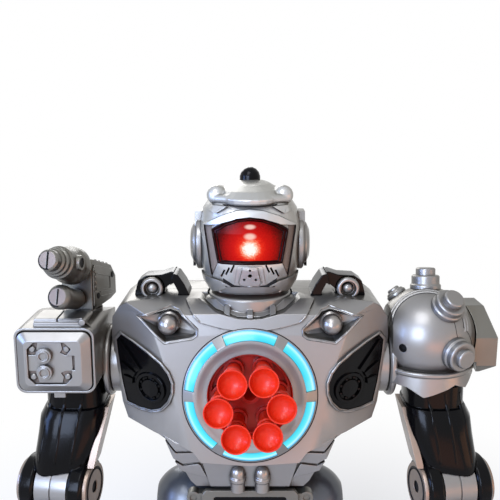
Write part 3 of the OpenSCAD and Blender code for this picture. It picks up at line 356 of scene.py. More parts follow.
# A lighter copy of the same paint on the helmet: painted light that brightens the head
PEARL_PAINTED_LIT = Finish(
    "flake_silver_spray_light", "satin_silver", "#c2c1bd", "#b1b0aa", "#625b53",
    0.36, 0.6, 0.2, 0.5, 34.0, 0.5, 0.03, flop="#7f7c72")
# A warmer batch, on the elbows' caps
PEARL_WARM = Finish(
    "flake_silver_spray_warm", "satin_silver", "#a08d7d", "#927f6f", "#3d332b",
    0.36, 0.55, 0.15, 0.5, 26.0, 0.5, 0.03, flop="#5f5044")
# Brown-grey, darker than the silver, on sunk faces: partly the bare ABS of the helmet's frames, partly
# painted shade on recess floors
RECESS = Finish(
    "recess_grey_abs", "satin_silver", "#85776c", "#75685e", "#2d2926",
    0.45, 0.2, 0.0, 0.4, 20.0, 0.6, 0.05)
# Matt near-black: the dark joints between mouldings, and painted shade set in holes and under edges where
# shadow falls
DARK_JOINT_AND_SHADE = Finish(
    "shadow_gap_abs", "satin_black", "#0a0a0b", "#101012", "#030303",
    0.6, 0.0, 0.0, 0.2, 14.0, 0.6, 0.05)
# Injection-moulded black ABS from a polished mould: deep, sharp reflections
PIANO = Finish(
    "gloss_black_abs", "gloss_black", "#050506", "#09090b", "#010101",
    0.17, 0.0, 0.0, 0.12, 40.0, 1.6, 0.02)
SATIN_BLACK = Finish(
    "satin_black_abs", "satin_black", "#141517", "#1b1c1f", "#020202",
    0.36, 0.2, 0.0, 0.3, 24.0, 0.5, 0.08)
GREY_ABS = Finish(
    "dark_grey_abs", "dark_grey", "#5f6369", "#53565c", "#121214",
    0.32, 0.6, 0.1, 0.4, 30.0, 0.5, 0.05, flop="#2f3136")
# Studs and bullets with a brighter flake coat
PLATED = Finish(
    "bright_flake_coat", "plated", "#98948f", "#8a8580", "#2a2623",
    0.3, 0.75, 0.2, 0.5, 12.0, 0.8, 0.01, flop="#5a524b")
# Soft PVC of the suction darts: waxy sheen, light bleeds into thin rims
SOFT_PVC = Finish(
    "soft_orange_pvc", "soft_orange", "#d92c0b", "#c82207", "#5e0c03",
    0.42, 0.0, 0.05, 0.3, 9.0, 0.7, 0.03, soft=0.15)
# Orange ABS of the housing; its faint glow is painted light that stands in for the lit ring's light on it
ORANGE_ABS = Finish(
    "orange_abs", "orange_shell", "#d8301a", "#c72613", "#8c1608",
    0.3, 0.0, 0.1, 0.3, 14.0, 0.6, 0.03, soft=0.1, glow="#ff2410", glow_strength=0.1)
# Dark red ABS of the drum; its faint glow is painted light from the lit ring
RED_ABS = Finish(
    "dark_red_abs", "dark_red", "#b01d10", "#9c160b", "#560a04",
    0.34, 0.0, 0.1, 0.3, 14.0, 0.6, 0.04, glow="#ff2008", glow_strength=0.03)
STEEL = Finish(
    "zinc_screw_steel", "screw_steel", "#6d6e72", "#5f6064", "#242424",
    0.32, 1.0, 0.0, 0.5, 6.0, 0.4, 0.05)
MOTOR = Finish(
    "motor_steel", "motor_steel", "#77787c", "#6a6b70", "#242424",
    0.35, 1.0, 0.0, 0.5, 10.0, 0.5, 0.05)
BOARD = Finish(
    "lacquered_board", "board_green", "#1d5b34", "#184c2b", "#08160d",
    0.4, 0.0, 0.3, 0.5, 8.0, 0.6, 0.04)
CELL = Finish(
    "wrapped_cell", "cell_wrap", "#b9772c", "#a96a24", "#2c1a08",
    0.3, 0.2, 0.3, 0.5, 16.0, 0.5, 0.02)
RUBBER = Finish(
    "black_roller_rubber", "roller_rubber", "#151515", "#1d1d1d", "#040404",
    0.7, 0.0, 0.0, 0.3, 6.0, 0.4, 0.15)
# Frosted acrylic over blue diodes: whiter where it is thickest, deeper blue at its edges
WINDOW = GlowFinish(
    "lit_blue_acrylic", "window_blue", "#0c4a58", "#0e5664", "#06303a",
    0.2, 0.0, 0.1, 0.4, 6.0, 0.8, 0.01, glow="#38d8ec", glow_strength=0.93,
    lamp=tuple(spot(0.0, -48.0, 215.0)), ragged_mm=0.6, stops=(
        (0.0, "#2a9fe0"), (33.9, "#2a9fe0"), (35.0, "#35d9ee"), (37.6, "#62eefa"),
        (39.0, "#c4fbff"), (39.9, "#6ecdf6"), (41.5, "#3f9fe8")))
# Red acrylic with one bright diode behind its middle; the two pale patches above it are painted highlights of
# the studio lamps
VISOR = GlowFinish(
    "lit_red_acrylic", "visor_red", "#200101", "#180101", "#0d0000",
    0.3, 0.0, 0.0, 0.06, 14.0, 1.0, 0.01, glow="#ff2010", glow_strength=1.0,
    lamp=tuple(spot(0.0, -33.2, 303.0)), ragged_mm=6.5, stops=(
        (0.0, "#ffffff"), (6.6, "#fffdf6"), (7.9, "#ffa884"), (9.8, "#f03018"),
        (13.0, "#cf1008"), (17.5, "#ab0703"), (21.5, "#640201"), (25.0, "#220000")),
    spots=(
        (tuple(spot(0.0, -34.0, 310.6)), 4.6, (1.0, 0.2, 1.7)),
        (tuple(spot(0.0, -33.4, 316.4)), 4.2, (1.0, 0.2, 2.2))))
REFLECTOR = Finish(
    "red_reflector_abs", "lamp_red", "#c01a12", "#a8150e", "#300303",
    0.25, 0.0, 0.1, 0.4, 8.0, 0.6, 0.02, glow="#ff3020", glow_strength=0.4)
DARK_LENS = Finish(
    "dark_red_bezel", "visor_red", "#1c0202", "#150101", "#050000",
    0.3, 0.0, 0.0, 0.08, 8.0, 0.6, 0.02)


# ---------------------------------------------------------------- modelling by hand


class Side(Enum):
    """The robot's own left and right."""

    LEFT = 1
    RIGHT = -1

    @property
    def tag(self) -> str:
        """The side's word in the parts' names."""
        return self.name.lower()

    def at(self, x: float, y: float, z: float) -> Vector:
        """Returns the frame's point for one given on the left side."""
        return spot(self.value * x, y, z)

    def out(self) -> Vector:
        """Returns the direction away from the middle."""
        return SIDEWAYS * self.value

    def elbow(self, out: float, back: float, up: float) -> Vector:
        """Returns the frame's point for one given from the middle of the elbow's pin.

        Args:
            out: Millimetres outwards along the pin.
            back: Millimetres behind it.
            up: Millimetres above it.

        Returns:
            The point in metres.
        """
        toe = math.radians(10.0)
        reach = 131.0 if self is Side.LEFT else 124.0
        x = reach + out * math.cos(toe) - back * math.sin(toe)
        return self.at(x, -22.0 + out * math.sin(toe) + back * math.cos(toe), 144.0 + up)


def clear_selection() -> None:
    """Leaves edit mode and deselects everything."""
    if bpy.context.object and bpy.context.object.mode != "OBJECT":
        bpy.ops.object.mode_set(mode="OBJECT")
    bpy.ops.object.select_all(action="DESELECT")


def focus(piece: Object) -> None:
    """Makes a piece the only one selected, and the active one."""
    clear_selection()
    piece.select_set(True)
    bpy.context.view_layer.objects.active = piece


def settle(piece: Object) -> None:
    """Puts a piece's place, turn and size into its mesh."""
    focus(piece)
    bpy.ops.object.transform_apply(location=True, rotation=True, scale=True)


@contextmanager
def edited(piece: Object, outwards: bool = True) -> Iterator[None]:
    """Opens a piece in edit mode with its whole mesh selected, and closes it again.

    Args:
        piece: The mesh.
        outwards: Whether its faces are turned outwards before it closes.

    Yields:
        Nothing.
    """
    focus(piece)
    bpy.ops.object.mode_set(mode="EDIT")
    bpy.ops.mesh.select_all(action="SELECT")
    yield
    if outwards:
        bpy.ops.mesh.select_all(action="SELECT")
        bpy.ops.mesh.normals_make_consistent(inside=False)
    bpy.ops.object.mode_set(mode="OBJECT")


def round_edges(piece: Object, width_mm: float, angle: float = 32.0) -> None:
    """Rounds the sharp edges and shades the rest smooth.

    Args:
        piece: The mesh.
        width_mm: Width of the rounding.
        angle: Smallest edge angle that is rounded, in degrees.
    """
    focus(piece)
    mesh = piece.data
    if width_mm > 0:
        faces = [tuple(face.vertices) for face in mesh.polygons]
        before = BVHTree.FromPolygons([corner.co for corner in mesh.vertices], faces)
        bevel = piece.modifiers.new("rounding", "BEVEL")
        bevel.width = width_mm * MM
        bevel.segments = ROUNDING_FACES
        bevel.limit_method = "ANGLE"
        bevel.angle_limit = math.radians(angle)
        bevel.use_clamp_overlap = False
        bevel.miter_outer = "MITER_ARC"
        bpy.ops.object.modifier_apply(modifier=bevel.name)
        # An unclamped rounding can throw a corner far out at a very sharp edge; such corners go back
        for corner in mesh.vertices:
            place, _, _, away = before.find_nearest(corner.co)
            if place is not None and away > STRAY_SHARE * width_mm * MM:
                corner.co = place
    bpy.ops.object.shade_smooth_by_angle(angle=math.radians(angle))
    weight = piece.modifiers.new("flat_faces_first", "WEIGHTED_NORMAL")
    weight.keep_sharp = True
    bpy.ops.object.modifier_apply(modifier=weight.name)


def finish_piece(piece: Object, finish: Finish, body: str) -> Object:
    """Gives a new piece its finish and its body.

    Args:
        piece: The finished mesh.
        finish: Its surface.
        body: The moving body that it belongs to.

    Returns:
        The same piece.
    """
    piece.data.materials.clear()
    piece.data.materials.append(finish.material())
    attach(piece, body)
    return piece


def chain(name: str, points: Sequence[Vector]) -> Object:
    """Draws a line of edges by extruding one vertex from point to point.

    Args:
        name: The new object's name.
        points: The places, in metres.

    Returns:
        The new object, out of edit mode.
    """
    clear_selection()
    bpy.ops.mesh.primitive_plane_add(size=MM, location=points[0])
    piece = bpy.context.object
    piece.name = name
    settle(piece)
    with edited(piece, outwards=False):
        bpy.ops.mesh.merge(type="CENTER")
        for here, there in zip(points, points[1:]):
            bpy.ops.mesh.extrude_vertices_move(TRANSFORM_OT_translate={"value": there - here})
    return piece


def bead(name: str, points: Sequence[Vector], radius_mm: float, closed: bool = False) -> Object:
    """Draws a round bead along a line.

    Args:
        name: The new object's name.
        points: The line, in metres.
        radius_mm: The bead's radius.
        closed: Whether its end meets its start.

    Returns:
        The bead.
    """
    focus(chain(name, points))
    bpy.ops.object.convert(target="CURVE")
    curve = bpy.context.object.data
    curve.splines[0].use_cyclic_u = closed
    curve.bevel_depth = radius_mm * MM
    curve.bevel_resolution = 1
    curve.use_fill_caps = not closed
    bpy.ops.object.convert(target="MESH")
    bpy.ops.object.shade_smooth_by_angle(angle=math.radians(60.0))
    return bpy.context.object


def turned(
    name: str, profile: Sequence[tuple[float, float]], base: Vector, axis: Vector, steps: int,
) -> Object:
    """Spins a profile round an axis, as on a lathe.

    Args:
        name: The new object's name.
        profile: Radius and height of each point, in millimetres.
        base: Where the height is nothing.
        axis: The direction of the height.
        steps: Faces round it.

    Returns:
        The turned piece.
    """
    piece = chain(name, [Vector((radius, 0.0, height)) * MM for radius, height in profile])
    with edited(piece):
        bpy.ops.mesh.spin(steps=steps, angle=math.tau, center=(0.0, 0.0, 0.0), axis=(0.0, 0.0, 1.0))
        bpy.ops.mesh.select_all(action="SELECT")
        bpy.ops.mesh.remove_doubles(threshold=0.003 * MM)
    piece.matrix_world = Matrix.Translation(base) @ axis.to_track_quat("Z", "Y").to_matrix().to_4x4()
    settle(piece)
    round_edges(piece, 0.0, angle=40.0)
    return piece


def plate(name: str, outline: Sequence[Vector], depth: Vector, rounding_mm: float) -> Object:
    """Fills an outline and gives it a thickness.

    Args:
        name: The new object's name.
        outline: The corners, in metres, all in one plane.
        depth: Direction and thickness, in metres.
        rounding_mm: Width of its rounded edges.

    Returns:
        The plate.
    """
    piece = chain(name, outline)
    with edited(piece):
        bpy.ops.mesh.edge_face_add()
        bpy.ops.mesh.extrude_region_move(TRANSFORM_OT_translate={"value": depth})
    round_edges(piece, rounding_mm)
    return piece


def joined(name: str, pieces: Sequence[Object], finish: Finish, body: str) -> Object:
    """Joins small pieces of one finish into one object.

    Args:
        name: The joined object's name.
        pieces: What is joined.
        finish: Its surface.
        body: The moving body that it belongs to.

    Returns:
        The joined piece.
    """
    focus(pieces[0])
    for other in pieces[1:]:
        other.select_set(True)
    if len(pieces) > 1:
        bpy.ops.object.join()
    pieces[0].name = name
    return finish_piece(pieces[0], finish, body)


def mirrored(half: Iterable[tuple[float, float]]) -> list[tuple[float, float]]:
    """Returns the whole outline for its half, sideways and up; a point on the middle line comes once."""
    points = list(half)
    return points + [(-x, z) for x, z in reversed(points) if x]


def ring_of(
    middle: Vector, axis: Vector, radius_mm: float, count: int, start: float = 0.0, sweep: float = 360.0,
) -> list[Vector]:
    """Returns points on a circle or an arc.

    Args:
        middle: Its middle.
        axis: Its axis.
        radius_mm: Its radius.
        count: How many points.
        start: Angle of the first point, in degrees.
        sweep: Angle that the points cover; a whole circle leaves out the repeated end.

    Returns:
        The points in metres.
    """
    turn = axis.to_track_quat("Z", "Y").to_matrix()
    share = count if sweep >= 360.0 else count - 1
    angles = [math.radians(start + sweep * i / share) for i in range(count)]
    return [middle + turn @ Vector((math.cos(a), math.sin(a), 0.0)) * radius_mm * MM for a in angles]


def along(corners: Sequence[Vector], pitch_mm: float, closed: bool = False) -> list[Vector]:
    """Returns points at even steps along straight runs.

    Args:
        corners: The corners of the line.
        pitch_mm: Largest step.
        closed: Whether the line returns to its first corner.

    Returns:
        The points.
    """
    ends = list(corners[1:]) + ([corners[0]] if closed else [])
    found: list[Vector] = []
    for here, there in zip(corners, ends):
        steps = max(1, math.ceil((there - here).length / (pitch_mm * MM)))
        found += [here.lerp(there, i / steps) for i in range(steps)]
    return found if closed else found + [corners[-1]]


def laid_on(carrier: Object, points: Iterable[Vector], way: Vector, lift_mm: float) -> list[Vector]:
    """Drops points onto a part's surface.

    Args:
        carrier: The part.
        points: Starting places outside it.
        way: The direction in which they drop.
        lift_mm: How far they stay above the surface.

    Returns:
        The points that met the part.
    """
    bpy.context.view_layer.update()
    found = []
    for point in points:
        met, place, normal, _ = carrier.ray_cast(point, way)
        if met:
            found.append(place + normal * lift_mm * MM)
    return found


def body_of(node: str) -> str:
    """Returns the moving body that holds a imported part."""
    for body, members in FRAME["record"]["behaviour"]["bodies"].items():
        if node in members:
            return body
    raise KeyError(node)


@dataclass(frozen=True)
class Zone:
    """Faces of a part that get a finish of their own.

    Attributes:
        finish: That finish.
        holds: Says, from a face's middle in millimetres and its normal, whether it belongs.
    """

    finish: Finish
    holds: Callable[[Vector, Vector], bool]


def recess_floor(low: float, high: float, half_width: float = math.inf) -> Callable[[Vector, Vector], bool]:
    """Returns a zone's test for the front-facing floor of a recess, between two places in millimetres."""
    return lambda at, way: way.y < -0.9 and low < at.y < high and abs(at.x) < half_width


@dataclass(frozen=True)
class Dressing:
    """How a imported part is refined.

    Attributes:
        finish: Its surface.
        width_mm: Width of its rounded edges.
        angle: Smallest edge angle that is rounded, in degrees.
        zones: Faces with a finish of their own.
        turned_about: Sideways place, in millimetres, about which the copy's relief is changed over.
        blend_mm: Size of the even faces with which a soft form is covered and blended, or nothing.
    """

    finish: Finish
    width_mm: float
    angle: float = 32.0
    zones: tuple[Zone, ...] = ()
    turned_about: float | None = None
    blend_mm: float = 0.0

    def apply(self, node: str) -> Object:
        """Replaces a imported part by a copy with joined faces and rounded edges.

        Args:
            node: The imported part.

        Returns:
            The new piece.
        """
        source = FRAME["nodes"][node]
        piece = bpy.data.objects.new(node + "_finished", source.data.copy())
        bpy.context.scene.collection.objects.link(piece)
        with edited(piece, outwards=False):
            bpy.ops.mesh.remove_doubles(threshold=MERGE_MM * MM)
            bpy.ops.mesh.dissolve_limited(angle_limit=math.radians(FLAT_DEGREES))
        if self.turned_about is not None:
            self.change_over(piece)
        if self.blend_mm > 0.0:
            self.blend(piece)
        round_edges(piece, self.width_mm, self.angle)
        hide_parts(node)
        finish_piece(piece, self.finish, body_of(node))
        for number, zone in enumerate(self.zones, start=1):
            piece.data.materials.append(zone.finish.material())
            for face in piece.data.polygons:
                if zone.holds((face.center - NECK) / MM, face.normal):
                    face.material_index = number
        return piece

    def blend(self, piece: Object) -> None:
        """Covers a soft form with even faces and lets its shapes flow into each other."""
        cover = piece.modifiers.new("even_faces", "REMESH")
        cover.mode = "VOXEL"
        cover.voxel_size = self.blend_mm * MM
        soft = piece.modifiers.new("flow", "SMOOTH")
        soft.factor = 0.5
        soft.iterations = 8
        for step in (cover, soft):
            bpy.ops.object.modifier_apply(modifier=step.name)

    def change_over(self, piece: Object) -> None:
        """Swaps a symmetric part's left and right, and points its faces outwards again."""
        middle = NECK.x + self.turned_about * MM
        piece.matrix_world = Matrix.Translation((2.0 * middle, 0.0, 0.0)) @ Matrix.Scale(-1.0, 4, SIDEWAYS)
        settle(piece)
        with edited(piece):
            pass


# ---------------------------------------------------------------- sub-assemblies


@dataclass
class SubAssembly:
    """Parts that are dressed together.

    Attributes:
        parts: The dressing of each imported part.
        made: The finished pieces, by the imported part's name.
    """

    parts: dict[str, Dressing] = field(default_factory=dict)
    made: dict[str, Object] = field(default_factory=dict)

    def build(self) -> list[Object]:
        """Refines every part, then adds the details.

        Returns:
            All new pieces.
        """
        for node, dressing in self.parts.items():
            self.made[node] = dressing.apply(node)
        pieces = list(self.made.values()) + self.details()
        for piece in pieces:
            LOG.info("%s: %d faces", piece.name, len(piece.data.polygons))
        return pieces

    def details(self) -> list[Object]:
        """Returns the extra pieces; the plain sub-assembly has none."""
        return []


@dataclass
class Torso(SubAssembly):
    """Chest, back, belly and their trim.

    Attributes:
        boss: Place of the wing panels' round bosses, sideways and up.
        stud_circle: Radius on which their small studs stand.
        lip: Outline of the bright lip round a wing panel, sideways and up.
        yoke: Half of the yoke's lower edge.
        pocket: Outline of the lip round one stud's pocket.
    """

    parts: dict[str, Dressing] = field(default_factory=lambda: {
        "chest_shell": Dressing(PEARL, 0.35), "back_shell": Dressing(PEARL, 0.35),
        "neck_collar": Dressing(PEARL, 0.3), "wing_panels": Dressing(PIANO, 0.3),
        "chest_studs": Dressing(PLATED, 0.2), "jet_brackets": Dressing(PIANO, 0.6),
        "jet_nozzles": Dressing(PEARL, 0.3), "belly_bullets": Dressing(PLATED, 0.2),
        "belt_plate": Dressing(PEARL_DARK, 0.4, zones=(Zone(PIANO, recess_floor(-38.2, -37.3, 23.0)),)),
        "pelvis": Dressing(SATIN_BLACK, 0.6), "battery_cover": Dressing(PEARL, 0.3),
        "speaker_grille": Dressing(GREY_ABS, 0.2), "case_screws": Dressing(STEEL, 0.1),
        "circuit_board": Dressing(BOARD, 0.0), "drive_motor": Dressing(MOTOR, 0.2),
        "battery_cells": Dressing(CELL, 0.3), "power_switch": Dressing(SATIN_BLACK, 0.2)})
    boss: tuple[float, float] = (61.6, 216.6)
    stud_circle: float = 6.5
    lip: Outline = (
        (82.6, 247.2), (80.2, 247.3), (72.3, 244.3), (62.1, 239.3), (53.6, 233.7), (49.1, 228.4),
        (46.7, 222.0), (46.9, 215.7), (49.4, 209.3), (54.4, 203.5), (60.8, 201.0), (69.2, 200.6),
        (78.4, 202.0))
    yoke: Outline = ((36.5, 264.6), (33.2, 261.4), (29.8, 257.9), (24.0, 256.4), (18.0, 255.0))
    pocket: Outline = (
        (69.4, 260.6), (48.6, 266.4), (43.0, 264.5), (31.9, 254.0), (32.1, 250.3), (34.8, 248.3),
        (51.8, 245.6))

    def details(self) -> list[Object]:
        """Adds the studs round the wing panels' bosses, the panels' lips and the yoke's edge."""
        return [self.boss_studs(side) for side in Side] + [self.chest_lips(side) for side in Side]

    def chest_lips(self, side: Side) -> Object:
        """Returns the raised lips along one wing panel and along the yoke's edge.

        Args:
            side: Which half of the chest.

        Returns:
            The lips.
        """
        lines = []
        runs = ((self.lip, 0.75, False), (self.yoke, 0.7, False), (self.pocket, 0.7, True))
        for run, radius, closed in runs:
            starts = along([side.at(x, CHEST_AHEAD_MM, z) for x, z in run], 1.5, closed)
            lines.append(bead("lip", laid_on(self.made["chest_shell"], starts, BACK, -0.1), radius, closed))
        return joined(f"chest_lips_{side.tag}", lines, PEARL, "torso")

    def boss_studs(self, side: Side) -> Object:
        """Sets eight small studs in the groove of one boss.

        Args:
            side: Which panel.

        Returns:
            The studs.
        """
        middle = side.at(self.boss[0], CHEST_AHEAD_MM, self.boss[1])
        starts = ring_of(middle, BACK, self.stud_circle, 8, 22.5)
        places = laid_on(self.made["wing_panels"], starts, BACK, -0.1)
        profile = ((0.0, 0.0), (1.15, 0.0), (1.15, 0.7), (0.75, 1.2), (0.0, 1.3))
        studs = [turned(f"stud_{i}", profile, place, FRONT, 12) for i, place in enumerate(places)]
        return joined(f"wing_boss_studs_{side.tag}", studs, PIANO, "torso")


@dataclass
class Launcher(SubAssembly):
    """The lit ring, the revolving drum and its suction darts.

    Attributes:
        middle: Middle of the ring's front.
        tilt: How far the launcher leans back, in degrees.
        dish: Radius and station of the bright dish inside the windows.
        gap_radius: Radius of the shadow gap round the ring.
    """

    parts: dict[str, Dressing] = field(default_factory=lambda: {
        "chest_ring": Dressing(PEARL, 0.25), "light_ring": Dressing(WINDOW, 0.15),
        "drum_housing": Dressing(ORANGE_ABS, 0.3), "dart_drum": Dressing(RED_ABS, 0.3),
        **{f"dart_{i}": Dressing(SOFT_PVC, 0.2) for i in range(1, 7)}})
    middle: Place = (0.0, -48.0, 215.0)
    tilt: float = 9.0
    dish: Outline = (
        (27.8, -6.0), (27.8, -1.9), (26.1, -1.4), (25.9, -1.2), (26.3, -1.05), (27.6, -1.15), (29.4, -1.0),
        (31.2, -0.65), (32.7, -0.3), (33.9, -0.5), (34.0, -1.4), (33.0, -2.2), (29.2, -6.0), (27.8, -6.0))
    gap_radius: float = 41.15

    def details(self) -> list[Object]:
        """Adds the dish and the shadow gap."""
        lean = math.radians(self.tilt)
        axis = Vector((0.0, -math.cos(lean), math.sin(lean)))
        middle = spot(*self.middle)
        dish = finish_piece(turned("ring_dish", self.dish, middle, axis, 72), PEARL, "torso")
        gap = bead("ring_gap", ring_of(middle - axis * 4.75 * MM, axis, self.gap_radius, 72), 0.3, True)
        return [dish, finish_piece(gap, DARK_JOINT_AND_SHADE, "torso")]


@dataclass
class Head(SubAssembly):
    """Helmet, visor, face guard and ear pods.

    Attributes:
        visor_outline: Half outline of the visor, sideways and up.
        visor_middle: Height towards which the inner bezel shrinks.
        mouthpiece: Half outline of the rim round the mouthpiece.
        crest_edge: Half width, half length, middle and height of the crest's lower edge.
        crest_square: How round that edge is; one is an ellipse, and less is squarer.
    """

    parts: dict[str, Dressing] = field(default_factory=lambda: {
        "helmet_front": Dressing(PEARL_PAINTED_LIT, 0.25, zones=(Zone(RECESS, Head.is_pillar),)),
        "helmet_rear": Dressing(PEARL_PAINTED_LIT, 0.3), "visor": Dressing(VISOR, 0.0),
        "face_guard": Dressing(PEARL_PAINTED_LIT, 0.12),
        "helmet_crest": Dressing(PEARL_PAINTED_LIT, 0.0, 60.0, blend_mm=0.5),
        "receiver_dome": Dressing(PIANO, 0.2), "ear_pods": Dressing(PEARL, 0.3),
        "eye_lamp": Dressing(REFLECTOR, 0.1)})
    visor_outline: Outline = (
        (19.6, 293.6), (23.2, 314.0), (16.0, 318.6), (8.0, 321.4), (0.0, 322.2))
    visor_middle: float = 307.0
    mouthpiece: Outline = ((5.0, 291.2), (7.4, 281.4), (5.6, 278.9))
    crest_edge: tuple[float, float, float, float] = (20.3, 30.7, -7.0, 329.0)
    crest_square: float = 0.91

    @staticmethod
    def is_pillar(at: Vector, way: Vector) -> bool:
        """Tells the sunk frame beside the visor from the shell round it.

        Args:
            at: A face's middle, in millimetres.
            way: Its normal.

        Returns:
            Whether the face belongs to the frame.
        """
        rise = (at.z - 284.0) / 32.0
        inner, outer = 19.0 + 3.4 * max(0.0, (at.z - 293.6) / 20.4), 23.9 + 4.8 * rise
        return way.y < -0.35 and 284.2 < at.z < 314.5 and inner < abs(at.x) < outer and at.y < -18.0

    def visor_line(self, shrink: float) -> list[Vector]:
        """Returns the visor's outline, shrunk, in front of the face."""
        middle = self.visor_middle
        half = [(x * shrink, middle + (z - middle) * shrink) for x, z in self.visor_outline]
        return along([spot(x, HEAD_AHEAD_MM, z) for x, z in mirrored(half)], 2.0, True)

    def details(self) -> list[Object]:
        """Adds bezels, the mouthpiece's rim, painted shade behind its holes, a painted shadow under the crest
        and the pods' inlays.
        """
        return [self.bezel(), self.mouth_rim(), self.mouth_backing(), self.crest_gap()] + self.pod_inlays()

    def bezel(self) -> Object:
        """Returns the dark bezel lines inside the visor's edge."""
        lines = [bead("bezel", laid_on(self.made["visor"], self.visor_line(shrink), BACK, 0.0), radius, True)
                 for shrink, radius in ((0.965, 1.0), (0.87, 0.45))]
        return joined("visor_bezel", lines, DARK_LENS, "head")

    def mouth_rim(self) -> Object:
        """Returns the raised rim round the mouthpiece."""
        starts = along([spot(x, HEAD_AHEAD_MM, z) for x, z in mirrored(self.mouthpiece)], 0.8, True)
        line = laid_on(self.made["face_guard"], starts, BACK, 0.05)
        return finish_piece(bead("mouthpiece_rim", line, 0.32, True), PEARL_PAINTED_LIT, "head")

    def mouth_backing(self) -> Object:
        """Returns a dark plate behind the mouthpiece's holes: painted shade in them."""
        outline = ((-15.0, 278.0), (15.0, 278.0), (19.0, 292.6), (-19.0, 292.6))
        hole_shade_plate = plate("guard_backing", [spot(x, -27.0, z) for x, z in outline], FRONT * 0.6 * MM, 0.2)
        return finish_piece(hole_shade_plate, DARK_JOINT_AND_SHADE, "head")

    def crest_gap(self) -> Object:
        """Returns a dark bead under the crest's front edge: a painted shadow."""
        count = 32
        half_x, half_y, middle_y, height = self.crest_edge
        points = []
        for i in range(count + 1):
            turn = math.radians(-172.0 + 164.0 * i / count)
            across, ahead = (math.copysign(abs(part) ** self.crest_square, part)
                             for part in (math.cos(turn), math.sin(turn)))
            points.append(spot(half_x * across, middle_y + half_y * ahead, height))
        return finish_piece(bead("crest_gap", points, 0.38), DARK_JOINT_AND_SHADE, "head")

    def pod_inlays(self) -> list[Object]:
        """Returns the dark slot and groove of each ear pod."""
        pieces = []
        for side in Side:
            corners = ((-0.9, 285.6), (0.9, 285.6), (0.9, 293.6), (-0.9, 293.6))
            slot = plate("slot", [side.at(36.6, y, z) for y, z in corners], -side.out() * 1.6 * MM, 0.1)
            groove = bead("groove", ring_of(side.at(34.05, 0.0, 301.0), side.out(), 14.4, 40), 0.35, True)
            pieces.append(joined(f"ear_inlay_{side.tag}", [slot, groove], DARK_JOINT_AND_SHADE, "head"))
        return pieces


